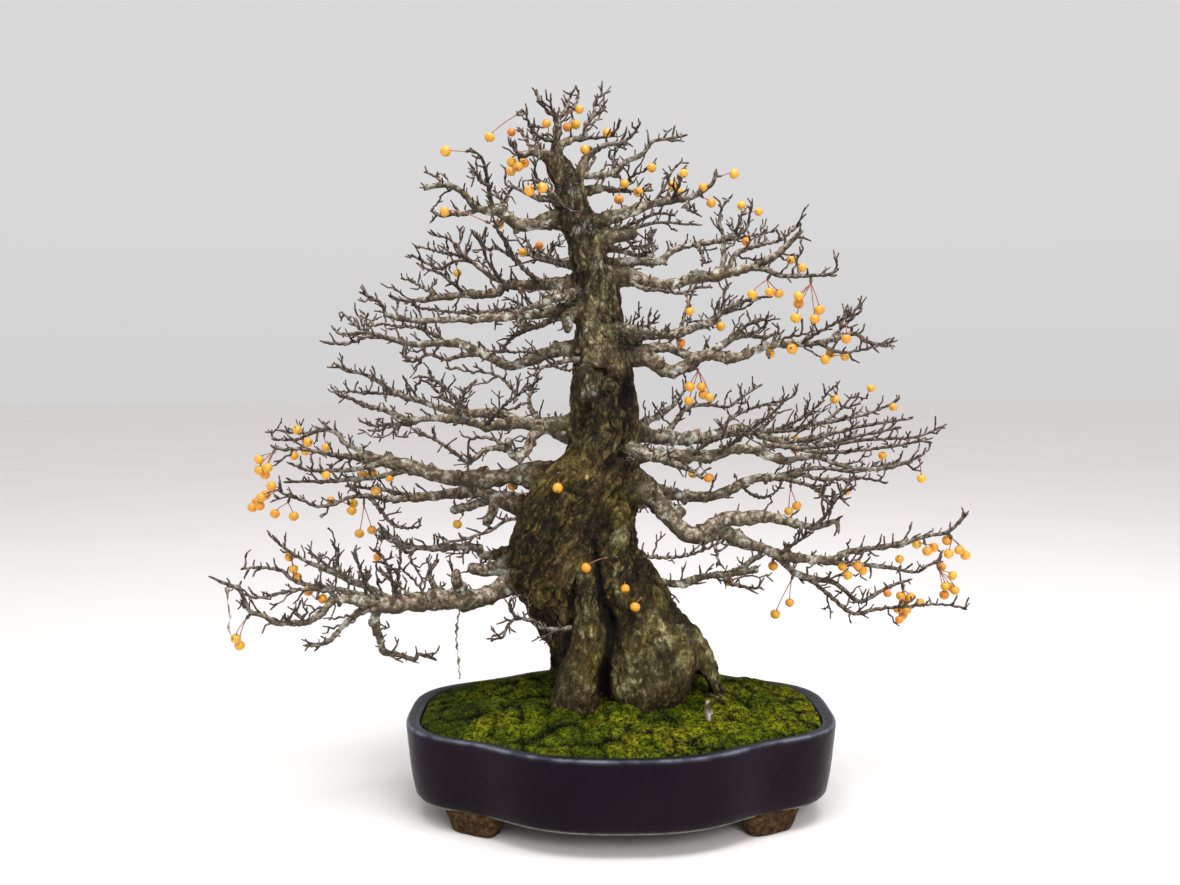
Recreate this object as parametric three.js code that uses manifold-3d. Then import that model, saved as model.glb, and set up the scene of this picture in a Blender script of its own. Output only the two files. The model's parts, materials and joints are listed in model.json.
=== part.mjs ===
// Crabapple bonsai in a glazed four-lobed pot. Millimetres, +Z up, front towards -Y.
// The origin is on the surface that the pot stands on, under the middle of the whole tree and pot.
import * as THREE from 'three';
import { mergeVertices } from 'three/addons/utils/BufferGeometryUtils.js';
import Module from 'manifold-3d';

const wasm = await Module();
wasm.setup();

// ---------------------------------------------------------------- driving dimensions
const GAP = 0.3;                 // running gap that touching pieces keep
const EYE = { x: -3, z: 520, distance: 1332 };   // eye point that the front elevation is drawn from

const POT = {
  x: 29.5,                       // centre of the pot across
  height: 106,
  footHeight: 24,
  side: [237.5, 122, 3.5],       // half width, half depth and squareness of the two side lobes
  front: [172, 175, 2.5],        // the same of the front and back lobes
  blend: 12,                     // how sharply the lobes meet
  points: 36,
  rim: 15,                       // width of the flat rim
  floorTop: 38,
  drainX: 95,
  drainRadius: 11,
};
// Height above the table, and how far the surface lies inside the pot's outline.
const WALL = [[POT.footHeight, 14], [30, 9], [62, 4], [102, 0], [POT.height, 1]];
const CAVITY = [[POT.floorTop, 28], [54, 22], [POT.height + 1, POT.rim]];
// Bracket feet: distance from the pot's centre, turn to follow the notch between two lobes, and half
// length and half depth at three heights, the last of them inside the pot's floor.
const FOOT = {
  x: 156,
  y: 90,
  turn: 0.5,
  squareness: 0.6,
  points: 12,
  sections: [[0, 26, 12], [9, 30, 14], [POT.footHeight + 2, 36, 19]],
};
const SCREEN = { size: 36, thick: 1.2, hole: 12, pitch: 16, count: 2 };
const SOIL = { top: 97, pocket: 6 };
const MOSS = { edge: 103, rise: 24, cushion: 3.6, rings: 4 };

const FRUIT = { radius: 5.6, stalk: 0.75, hub: 1.4 };
const SPUR = { reach: 5, radius: 1.5, root: 6 };
const HANG = {
  step: 5,                       // depth tried in steps of this
  tries: 40,
  apart: 10.4,                   // least distance between fruits of one bunch
  fruitRoom: 0.9,                // least room round a fruit
  stalkRoom: 0.6,                // least room round a stalk
  seat: 2.4,                     // length of stalk that may lie near its own spur
  trunkRoom: 1.5,
};
const TWIG = { spacing: 300, shortest: 16, longest: 34, radius: 1.6, bare: 18, room: 0.8 };
const BRANCH = {
  sway: 5,                       // wander in depth from point to point
  knot: 0.16,                    // spread of the radius from point to point
  taper: 0.8,
  tolerance: 4.6,                // a point nearer than this to its neighbours' line is left out
};
const TRUNK_SIDES = 13;
const ROOT_SIDES = 8;
const SLIVER = 0.1;              // faces narrower than this are merged into their neighbours

// ---------------------------------------------------------------- the tree, as hand-set tables
// Trunk column: height, left and right edge in the front elevation, front and back depth.
const TRUNK = [
  [84, -30, 50, -25, 50], [140, -34, 62, -32, 55], [165, -42, 78, -38, 58], [190, -58, 94, -42, 60],
  [215, -70, 94, -48, 62], [240, -80, 80, -52, 60], [262, -88, 66, -55, 58], [288, -95, 51, -55, 56],
  [315, -85, 44, -52, 52], [338, -76, 46, -47, 48], [362, -58, 49, -42, 44], [382, -38, 49, -38, 40],
  [430, -26, 50, -35, 37], [490, -22, 44, -30, 33], [545, -17, 35, -26, 29], [600, -16, 22, -20, 22],
  [650, -30, 5, -16, 16], [675, -38, -5, -15, 14], [700, -42, -14, -13, 12], [722, -43, -25, -9, 9],
];

// Buttress roots, each as points of x, z, depth and radius.
const BUTTRESSES = [
  [[-10, 290, -40, 9], [-11, 255, -47, 12], [-9, 225, -50, 14], [-5, 203, -50, 17], [-2, 184, -49, 20],
    [-4, 167, -47, 21], [-13, 150, -46, 21], [-17, 130, -46, 24], [-22, 112, -46, 24], [-24, 84, -44, 26]],
  [[44, 240, 0, 24], [70, 216, -8, 22], [93, 193, -12, 23], [112, 170, -14, 20], [126, 148, -14, 14],
    [136, 128, -14, 11], [140, 108, -14, 10], [142, 84, -12, 10]],
  [[-24, 232, 20, 28], [-24, 182, 38, 21], [-27, 142, 56, 17], [-32, 112, 70, 14], [-36, 84, 84, 10]],
  [[20, 222, 30, 30], [25, 172, 58, 24], [30, 130, 80, 19], [32, 104, 96, 13], [34, 84, 108, 8]],
  [[70, 202, 15, 26], [92, 162, 40, 20], [108, 130, 58, 15], [118, 106, 72, 11], [126, 84, 84, 7]],
  [[42, 264, -22, 22], [50, 238, -26, 28], [59, 208, -31, 37], [64, 178, -34, 42], [65, 146, -33, 43],
    [64, 118, -31, 41], [63, 96, -30, 36]],
];
// Old rotted hollow at the right edge of the trunk.
const HOLLOW = { x: 38, z: 461, y: -26, half: [6.5, 14, 18] };

// Limbs and branches: name, what each grows from (a branch, or a depth in the trunk), radius at the
// base and at the tip, depth of the tip, and the route in the front elevation as x, z.
const BRANCHES = [
  // lowest limb on the left, long and knotted
  ['low', 0, 13, 8.5, -55, [[-62, 268], [-84, 256], [-102, 245], [-118, 236], [-140, 231], [-165, 231],
    [-192, 229], [-218, 227], [-243, 226]]],
  ['lowA', 'low', 4.2, 1.6, -95, [[-240, 225], [-262, 218], [-276, 208], [-288, 196], [-300, 184],
    [-315, 180], [-332, 179]]],
  ['lowB', 'low', 4.8, 1.3, -20, [[-243, 226], [-247, 208], [-242, 190], [-237, 172], [-220, 168],
    [-202, 163], [-198, 169], [-186, 166], [-174, 160]]],
  ['lowC', 'low', 5.5, 1.5, -150, [[-238, 227], [-268, 231], [-292, 231], [-304, 219], [-323, 206],
    [-342, 206], [-359, 206], [-372, 214], [-387, 219], [-394, 234], [-400, 245], [-422, 254]]],
  ['lowD', 'lowC', 2.4, 1.2, -100, [[-286, 231], [-300, 242], [-322, 244], [-346, 241], [-372, 235],
    [-386, 236], [-397, 243]]],
  ['lowE', 'low', 3.4, 1.3, -10, [[-238, 228], [-270, 240], [-300, 246], [-326, 250], [-341, 257],
    [-349, 265], [-376, 269], [-400, 267]]],
  ['lowF', 'low', 4.4, 1.2, 60, [[-222, 228], [-255, 246], [-282, 258], [-305, 268], [-328, 279],
    [-345, 290], [-363, 306]]],
  ['lowG', 'lowF', 2.4, 1, 95, [[-258, 247], [-285, 262], [-302, 273], [-312, 281], [-323, 287]]],
  ['lowI', 'low', 2.4, 0.9, -120, [[-236, 228], [-256, 248], [-262, 266], [-266, 279], [-275, 288]]],
  ['lowJ', 'low', 2.2, 0.9, -110, [[-214, 229], [-226, 250], [-230, 268], [-243, 288]]],
  ['lowK', 'low', 4, 1.8, 30, [[-168, 234], [-180, 248], [-184, 262], [-178, 272], [-172, 278]]],
  ['lowL', 'low', 6, 5, -75, [[-148, 233], [-152, 247], [-155, 262]]],
  ['lowM', 0, 9, 6, -10, [[-76, 276], [-100, 271], [-118, 264], [-141, 268]]],
  ['lowN', 'low', 1.4, 1, -80, [[-146, 232], [-152, 214], [-155, 190], [-153, 162], [-151, 134]]],
  // slim limb above it
  ['slim', 10, 6.5, 1.3, 70, [[-80, 286], [-104, 284], [-122, 281], [-131, 290], [-150, 292],
    [-175, 290], [-200, 291], [-216, 293], [-226, 303], [-240, 318]]],
  ['slimA', 'slim', 2.6, 1, 30, [[-200, 291], [-206, 280], [-200, 268], [-193, 262]]],
  ['slimB', 'slim', 2, 0.9, 125, [[-198, 291], [-218, 298], [-231, 303], [-247, 306]]],
  // long limb at the left, two thirds of the way down
  ['mid', 0, 11, 6, 15, [[-45, 372], [-70, 373], [-92, 371], [-115, 368], [-140, 369], [-163, 370],
    [-186, 376], [-212, 384], [-238, 389], [-262, 394]]],
  ['midA', 'mid', 3.8, 1.2, 75, [[-238, 390], [-262, 402], [-278, 410], [-284, 420], [-300, 424],
    [-318, 418], [-330, 413], [-356, 413]]],
  ['midB', 'mid', 3.2, 1.2, -60, [[-252, 392], [-285, 395], [-310, 400], [-330, 403], [-345, 402],
    [-363, 407]]],
  ['midC', 'mid', 3.2, 1.1, -115, [[-232, 387], [-262, 380], [-290, 378], [-318, 379], [-332, 384],
    [-342, 388]]],
  ['midD', 'mid', 3.4, 1.2, -20, [[-200, 380], [-232, 372], [-270, 368], [-300, 366], [-325, 366],
    [-350, 365]]],
  ['fork', 10, 9.5, 5, 60, [[-56, 338], [-82, 336], [-100, 341], [-115, 350], [-132, 353], [-155, 352],
    [-178, 349], [-200, 347]]],
  ['forkA', 'fork', 3.8, 1.2, 25, [[-196, 347], [-225, 346], [-250, 349], [-272, 348], [-288, 341],
    [-308, 338], [-325, 345], [-345, 352], [-352, 356]]],
  ['forkB', 'fork', 3, 1.1, 125, [[-196, 347], [-222, 354], [-248, 358], [-280, 361]]],
  ['forkC', 'forkA', 2.6, 1, -30, [[-250, 349], [-238, 334], [-224, 317], [-206, 313], [-190, 316]]],
  ['forkD', 'fork', 5, 4.2, 55, [[-110, 347], [-134, 338], [-158, 333]]],
  ['forkE', 'fork', 5.5, 4.6, 0, [[-108, 345], [-113, 330], [-121, 317]]],
  ['thread', 0, 2, 1.1, -40, [[-70, 324], [-96, 322], [-114, 311], [-136, 302], [-160, 297],
    [-178, 293]]],
  // limb at the left where the trunk begins to slim
  ['high', 0, 9, 2.4, -45, [[-14, 428], [-38, 427], [-62, 428], [-88, 430], [-112, 427], [-140, 432],
    [-165, 436], [-190, 435], [-206, 429]]],
  ['highA', 'high', 3.2, 1.2, -115, [[-196, 433], [-216, 438], [-232, 446], [-252, 450], [-268, 458],
    [-281, 462], [-290, 468]]],
  ['highB', 'high', 5.5, 1.3, 65, [[-80, 430], [-104, 441], [-132, 441], [-160, 444], [-182, 452],
    [-204, 459], [-222, 466], [-240, 479], [-258, 487], [-272, 489], [-285, 497]]],
  ['highC', 'highB', 2.2, 1, 130, [[-182, 452], [-212, 462], [-245, 464], [-270, 466], [-292, 466]]],
  ['highD', 'high', 2.4, 1.1, -15, [[-202, 430], [-224, 429], [-244, 428], [-259, 434]]],
  ['highE', 'highB', 2.4, 1, 10, [[-136, 441], [-152, 458], [-168, 474], [-186, 482], [-196, 480]]],
  ['highF', 'highB', 2.2, 1, 130, [[-142, 442], [-160, 456], [-176, 470], [-182, 489]]],
  ['highG', 'high', 2.2, 1, -135, [[-118, 428], [-100, 448], [-82, 462], [-70, 470], [-56, 481]]],
  ['highH', 'high', 7, 3.2, -70, [[-50, 427], [-66, 417], [-72, 402], [-82, 392], [-92, 398],
    [-94, 411]]],
  ['highI', 'highH', 3, 1.1, -125, [[-82, 393], [-100, 402], [-122, 399], [-138, 388], [-152, 396],
    [-176, 412], [-200, 421]]],
  ['highJ', 'highH', 2.6, 1, -30, [[-92, 399], [-112, 413], [-136, 412], [-139, 398], [-140, 384]]],
  ['highK', 'high', 2.6, 1, -150, [[-138, 432], [-150, 445], [-144, 458], [-141, 472]]],
  ['highL', 'highG', 1.6, 0.9, -100, [[-84, 461], [-100, 480], [-120, 487], [-140, 488], [-156, 495]]],
  // fourth limb on the left
  ['fourth', 0, 7.5, 2.4, 30, [[-8, 508], [-30, 512], [-48, 508], [-66, 501], [-84, 495], [-96, 495],
    [-110, 502], [-128, 511], [-150, 518], [-175, 519], [-198, 518], [-216, 522], [-238, 528]]],
  ['fourthA', 'fourth', 2.4, 1.2, 5, [[-236, 527], [-252, 526], [-264, 521], [-280, 519], [-301, 521]]],
  ['fourthB', 'fourth', 2.6, 1.2, 65, [[-234, 527], [-252, 531], [-268, 530], [-280, 531],
    [-287, 538]]],
  ['fourthD', 'fourth', 2.6, 1.1, -65, [[-120, 507], [-146, 505], [-162, 501], [-180, 507],
    [-192, 502], [-201, 499], [-216, 512]]],
  ['fourthE', 'fourth', 2.6, 1.1, 95, [[-158, 518], [-178, 530], [-196, 537], [-214, 538],
    [-232, 541]]],
  ['fourthF', -10, 3, 1.3, -60, [[-10, 502], [-32, 498], [-48, 494], [-62, 489], [-60, 481]]],
  // fifth
  ['fifth', 0, 6, 2.2, -35, [[-5, 560], [-26, 556], [-50, 552], [-76, 549], [-104, 547], [-132, 545],
    [-160, 545], [-190, 544], [-216, 546]]],
  ['fifthA', 'fifth', 2.8, 1.2, -75, [[-208, 546], [-226, 551], [-232, 562], [-244, 570],
    [-260, 578]]],
  ['fifthB', 'fifth', 3, 1.2, 55, [[-60, 551], [-90, 556], [-120, 553], [-150, 553], [-176, 556],
    [-196, 558]]],
  ['fifthC', 0, 5, 1.4, 65, [[-6, 545], [-24, 548], [-42, 545], [-58, 538], [-72, 534], [-82, 529],
    [-92, 522], [-99, 511]]],
  ['fifthD', 'fifthC', 3, 1.2, 95, [[-70, 535], [-79, 549], [-82, 562], [-91, 566]]],
  ['hook', -5, 7, 4.5, -25, [[-10, 556], [-24, 553], [-28, 543], [-27, 533]]],
  // sixth
  ['sixth', 0, 8, 2.6, 45, [[-5, 584], [-26, 583], [-52, 583], [-76, 582], [-96, 583], [-103, 574],
    [-124, 573], [-148, 572], [-170, 569], [-190, 566]]],
  ['sixthA', 'sixth', 2.4, 1.1, 20, [[-186, 567], [-206, 566], [-220, 569], [-226, 577]]],
  ['sixthB', 'sixth', 3, 1.1, 115, [[-92, 583], [-110, 592], [-124, 602], [-136, 609], [-152, 608],
    [-168, 601], [-184, 608], [-197, 616]]],
  ['sixthE', 'sixth', 2.4, 1, -20, [[-96, 583], [-112, 604], [-119, 622], [-116, 640]]],
  ['sixthF', 'sixth', 2.8, 1, -65, [[-54, 583], [-72, 598], [-86, 611], [-102, 621], [-122, 622]]],
  ['sixthH', 'sixth', 2.4, 0.9, -40, [[-140, 573], [-154, 586], [-168, 596], [-184, 602],
    [-196, 610]]],
  ['sixthI', 'sixth', 2.2, 0.9, 95, [[-168, 570], [-186, 580], [-200, 588], [-213, 590]]],
  ['sixthJ', -5, 6, 5, -30, [[-8, 572], [-32, 571], [-54, 569]]],
  ['sixthK', 0, 5, 1.1, 135, [[-10, 600], [-30, 606], [-48, 609], [-64, 613], [-76, 624]]],
  ['sixthM', 'sixthK', 2.4, 1, 165, [[-48, 609], [-64, 618], [-74, 636]]],
  // seventh and eighth
  ['seventh', 0, 8, 2.2, -30, [[-22, 654], [-42, 654], [-62, 649], [-80, 648], [-92, 656],
    [-102, 663], [-116, 664], [-128, 668], [-136, 678], [-148, 688], [-162, 692], [-184, 688]]],
  ['seventhA', 'seventh', 2.8, 1.2, 25, [[-122, 666], [-138, 661], [-152, 660], [-166, 659],
    [-178, 668]]],
  ['seventhB', 'seventh', 2.8, 1, -75, [[-108, 664], [-112, 686], [-115, 706], [-120, 720],
    [-131, 730]]],
  ['seventhE', 'seventh', 2, 1, -15, [[-160, 691], [-170, 700], [-181, 705]]],
  ['eighth', 0, 4, 1.1, 65, [[-36, 676], [-54, 676], [-68, 681], [-82, 688], [-93, 692], [-95, 700]]],
  // leaders at the top
  ['leaderL', 0, 6.5, 3, -8, [[-38, 700], [-44, 715], [-52, 724], [-66, 726], [-80, 722]]],
  ['leaderLa', 'leaderL', 2.4, 1.1, -35, [[-74, 724], [-84, 729], [-86, 742]]],
  ['leaderLb', 'leaderL', 2.4, 1, 35, [[-62, 725], [-70, 738], [-78, 751]]],
  ['leaderM', 0, 6, 3.2, 5, [[-34, 702], [-38, 718], [-38, 735], [-37, 752], [-36, 765]]],
  ['leaderMa', 'leaderM', 2.2, 1, -25, [[-36, 762], [-48, 773], [-62, 784]]],
  ['leaderMb', 'leaderM', 2.6, 1.1, 20, [[-36, 762], [-27, 773], [-24, 783], [-20, 793]]],
  ['leaderMc', 'leaderM', 2.2, 1, 60, [[-36, 764], [-20, 772], [-15, 783], [-13, 795]]],
  ['leaderMd', 'leaderM', 2.4, 1, -55, [[-38, 738], [-54, 742], [-66, 752], [-70, 764],
    [-76, 776]]],
  ['leaderN', 'leaderM', 4, 1.1, 45, [[-38, 732], [-22, 740], [-8, 742], [-6, 756], [3, 766],
    [5, 782], [19, 791]]],
  ['leaderNb', 'leaderN', 2.2, 1, 5, [[-10, 742], [12, 742], [26, 748], [33, 761]]],
  ['leaderR', 0, 6, 3.6, 10, [[-20, 684], [-13, 702], [-8, 716], [0, 727]]],
  ['leaderRa', 'leaderR', 3.2, 1.1, -25, [[-2, 724], [16, 734], [34, 737], [46, 746], [56, 762]]],
  ['leaderRb', 'leaderR', 4, 1.2, 35, [[-14, 700], [6, 701], [24, 704], [38, 716], [56, 724],
    [66, 737], [84, 740], [103, 744]]],
  ['leaderRd', 0, 4.5, 1.3, 75, [[-16, 682], [8, 687], [30, 685], [50, 684], [67, 685]]],
  // right-hand limbs, from the top down
  ['r7', 0, 7, 1.6, -30, [[-2, 650], [20, 655], [40, 661], [62, 669], [86, 674], [108, 677],
    [122, 684], [133, 693], [136, 705]]],
  ['r7d', 5, 2.6, 1.2, 55, [[0, 642], [28, 643], [44, 648], [60, 656], [78, 660], [96, 656]]],
  ['r7e', 5, 2.8, 1.1, 100, [[0, 632], [30, 640], [50, 646], [70, 650], [94, 649], [121, 647]]],
  ['stub', -5, 6.5, 5.5, -12, [[-4, 630], [18, 634], [36, 635], [49, 639]]],
  ['r6', 5, 5.5, 2, 80, [[8, 604], [30, 606], [52, 608], [72, 607], [86, 617], [102, 624],
    [122, 627], [146, 630]]],
  ['r6a', 'r6', 2.6, 1, 115, [[62, 608], [68, 622], [64, 634], [70, 644]]],
  ['r6b', 'r6', 2.4, 1.2, 20, [[116, 626], [122, 612], [121, 600]]],
  ['r6d', 'r6', 2.4, 1, 125, [[140, 629], [158, 640], [162, 652], [166, 665]]],
  ['r6e', 'r6', 2.4, 1, 50, [[144, 630], [168, 640], [173, 656], [176, 676]]],
  ['r5', 0, 9, 2.2, -40, [[15, 590], [36, 591], [56, 587], [76, 582], [96, 585], [116, 590],
    [138, 591], [160, 597], [182, 603], [200, 612], [214, 624], [231, 641]]],
  ['r5a', 'r5', 3, 1.4, -95, [[174, 601], [192, 599], [206, 592], [226, 591], [246, 592], [262, 593],
    [276, 601]]],
  ['r5b', 'r5', 2.6, 1.2, -75, [[36, 590], [56, 578], [78, 576], [98, 573], [118, 579], [137, 578]]],
  ['r5c', 'r5', 3, 1, 30, [[142, 592], [145, 616], [144, 638], [140, 652], [144, 668], [156, 681]]],
  ['r5d', 'r5', 2.8, 1.4, 5, [[148, 593], [158, 614], [180, 624], [206, 630], [219, 640],
    [232, 650]]],
  ['r4b', 5, 7, 3.6, 75, [[20, 524], [44, 524], [66, 527], [88, 528], [106, 533], [122, 537],
    [136, 541]]],
  ['r4bA', 'r4b', 3, 1.2, 50, [[132, 540], [150, 556], [168, 564], [186, 568], [203, 568]]],
  ['r4bB', 'r4b', 2.6, 1.1, 115, [[134, 540], [145, 560], [146, 574], [156, 587]]],
  ['r4bD', -10, 2.6, 1.1, -35, [[25, 538], [46, 536], [62, 538], [72, 546], [78, 552]]],
  ['r4bE', 'r4b', 2.4, 1, 145, [[120, 537], [138, 548], [152, 552], [171, 557]]],
  ['r4', 0, 9, 5, -30, [[28, 504], [50, 504], [66, 500], [77, 490], [90, 487], [104, 493],
    [118, 503], [136, 504], [152, 500]]],
  ['r4A', 'r4', 5, 1.6, -65, [[148, 501], [166, 503], [182, 511], [206, 516], [230, 517],
    [254, 518], [274, 524], [292, 527], [303, 519], [326, 513]]],
  ['r4B', 'r4', 4.5, 1.4, 10, [[126, 504], [142, 514], [156, 523], [172, 526], [190, 524],
    [205, 528]]],
  ['r4C', 10, 6, 4, -10, [[30, 514], [52, 510], [66, 513], [84, 513], [98, 507], [114, 502]]],
  ['r4D', 'r4A', 2.4, 1.1, -105, [[230, 517], [252, 530], [270, 540], [291, 550]]],
  ['r4F', 'r4A', 2.2, 1.1, -90, [[250, 518], [272, 508], [292, 508], [313, 513]]],
  ['r4G', 'r4B', 2.4, 1, 50, [[154, 522], [168, 536], [184, 543], [199, 541]]],
  ['r3', 5, 10, 5, 90, [[28, 424], [52, 418], [76, 413], [100, 412], [126, 414], [148, 420],
    [168, 424]]],
  ['r3A', 'r3', 4, 1.3, 60, [[162, 423], [186, 416], [210, 410], [240, 410], [270, 418], [300, 425],
    [330, 430], [354, 433]]],
  ['r3B', 'r3', 3.4, 1.2, 135, [[162, 423], [196, 420], [226, 422], [250, 428], [276, 432],
    [304, 438], [326, 447], [340, 454]]],
  ['r3C', 'r3A', 3.2, 1.1, 25, [[184, 416], [222, 403], [254, 402], [290, 408], [330, 411],
    [362, 413], [398, 428]]],
  ['r3D', 'r3A', 2.8, 1.1, -25, [[200, 412], [236, 398], [272, 396], [306, 399], [340, 403],
    [366, 408], [382, 404]]],
  ['r3F', 'r3', 3, 1.1, 165, [[78, 413], [92, 430], [104, 446], [126, 450], [150, 447], [166, 458],
    [191, 474]]],
  ['r3G', 'r3', 2.4, 1, 135, [[138, 417], [160, 438], [190, 449], [220, 457], [229, 476]]],
  ['r3H', 'r3B', 2.2, 1, 95, [[202, 420], [232, 434], [252, 450], [262, 464], [279, 477]]],
  ['r3I', 'r3B', 2, 1, 170, [[258, 429], [278, 446], [288, 457], [306, 455]]],
  ['r3b', 0, 9, 4, -15, [[28, 398], [56, 394], [84, 394], [112, 392], [136, 394], [160, 400],
    [182, 398], [202, 390], [222, 385]]],
  ['r3bA', 'r3b', 3.2, 1.2, -65, [[216, 387], [246, 391], [270, 384], [290, 378], [322, 377],
    [348, 384], [374, 396]]],
  ['r3bB', 'r3b', 3, 1.1, -125, [[178, 398], [204, 404], [230, 400], [256, 405], [286, 412],
    [316, 418], [346, 425]]],
  ['r3bC', 'r3b', 2.4, 1, -150, [[138, 395], [160, 410], [178, 424], [196, 436], [214, 453]]],
  ['r3bD', 'r3b', 2.4, 1, -100, [[110, 392], [126, 406], [150, 414], [177, 419]]],
  ['r3c', 5, 8.5, 3.4, 40, [[32, 366], [58, 358], [84, 351], [108, 346], [132, 347], [154, 354],
    [170, 364], [192, 368], [214, 368]]],
  ['r3cA', 'r3c', 3, 1.2, 20, [[208, 368], [232, 371], [252, 366], [280, 366], [306, 366],
    [333, 360]]],
  ['r3cB', 'r3c', 2.8, 1.1, 85, [[204, 368], [230, 376], [258, 378], [290, 374], [320, 380],
    [347, 387]]],
  ['r3cC', 'r3c', 2.6, 1, -25, [[208, 368], [238, 360], [256, 350], [266, 340], [277, 346],
    [292, 359]]],
  ['r2', -5, 13.5, 6, -50, [[34, 366], [52, 358], [68, 346], [80, 332], [92, 316], [106, 304],
    [122, 303], [134, 312], [148, 321], [170, 322], [192, 324], [212, 321]]],
  ['r2A', 'r2', 5, 1.8, -90, [[206, 322], [226, 316], [244, 312], [258, 314], [272, 318],
    [275, 307]]],
  ['r2B', 'r2A', 2.4, 1.1, -125, [[250, 313], [262, 328], [272, 342], [292, 359]]],
  ['r2C', 'r2', 9, 4, 10, [[120, 303], [142, 308], [158, 300], [174, 293], [192, 287], [210, 280],
    [230, 277], [254, 273]]],
  ['r2D', 'r2C', 4, 1.4, -40, [[248, 274], [270, 276], [290, 284], [320, 289], [350, 294],
    [378, 302], [400, 307], [423, 332]]],
  ['r2E', 'r2C', 3.2, 1.2, 45, [[248, 274], [280, 270], [310, 268], [340, 264], [364, 260],
    [378, 268], [397, 273]]],
  ['r2F', 'r2C', 4, 1.4, 75, [[204, 282], [224, 262], [244, 254], [268, 250], [282, 240],
    [300, 227], [322, 238], [338, 246], [357, 252]]],
  ['r2G', 'r2F', 2.6, 1.2, 30, [[242, 254], [268, 232], [292, 214], [318, 218], [350, 221],
    [382, 223], [404, 222], [425, 216]]],
  ['r2I', 'r2C', 2.4, 1, -55, [[208, 281], [228, 294], [245, 310]]],
  ['r1', -5, 4.5, 3.2, -25, [[44, 254], [66, 252], [84, 249], [104, 249], [124, 256], [146, 259],
    [166, 261], [185, 264]]],
  ['r1A', 'r1', 2.4, 1.2, -75, [[144, 258], [156, 248], [178, 243], [193, 244]]],
  ['r1B', -20, 2.2, 1.2, -65, [[36, 280], [60, 279], [84, 278], [108, 281], [130, 289], [149, 298]]],
  ['r1D', 'r1', 4, 2.2, 25, [[160, 261], [176, 273], [187, 280]]],
  ['curl', -50, 2.8, 1.1, -80, [[-14, 199], [-42, 197], [-60, 199], [-72, 207], [-88, 209],
    [-97, 200], [-103, 188], [-119, 186]]],
  // limbs that grow away from the front and towards it, which fill the crown out in depth
  ['backA', 10, 6.5, 1.6, 205, [[14, 415], [34, 424], [56, 430], [78, 440], [96, 456], [104, 471]]],
  ['backB', 10, 6.5, 1.6, 195, [[-10, 408], [-34, 414], [-56, 430], [-70, 452], [-66, 475]]],
  ['backC', 8, 5, 1.4, 175, [[6, 566], [20, 582], [40, 600], [58, 618], [66, 637]]],
  ['backD', 20, 8, 2, 245, [[0, 310], [28, 330], [60, 340], [90, 346], [113, 353]]],
  ['backE', 20, 7.5, 1.8, 225, [[-40, 330], [-66, 342], [-96, 350], [-124, 350], [-151, 355]]],
  ['backF', 4, 4, 1.2, 125, [[-24, 672], [-18, 690], [-6, 706], [6, 723]]],
  ['backG', 5, 4.5, 1.3, 155, [[6, 620], [22, 622], [44, 616], [66, 610], [85, 603]]],
  ['frontA', -5, 4, 1.2, -125, [[-34, 668], [-46, 684], [-58, 694], [-67, 698]]],
  ['frontB', -10, 6, 1.6, -175, [[30, 404], [58, 396], [84, 386], [106, 378], [125, 366]]],
  ['frontC', -8, 5, 1.4, -165, [[-12, 574], [-38, 568], [-62, 560], [-91, 552]]],
  ['frontD', -8, 5, 1.4, -155, [[16, 535], [36, 534], [56, 531], [80, 528], [101, 524]]],
];

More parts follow.
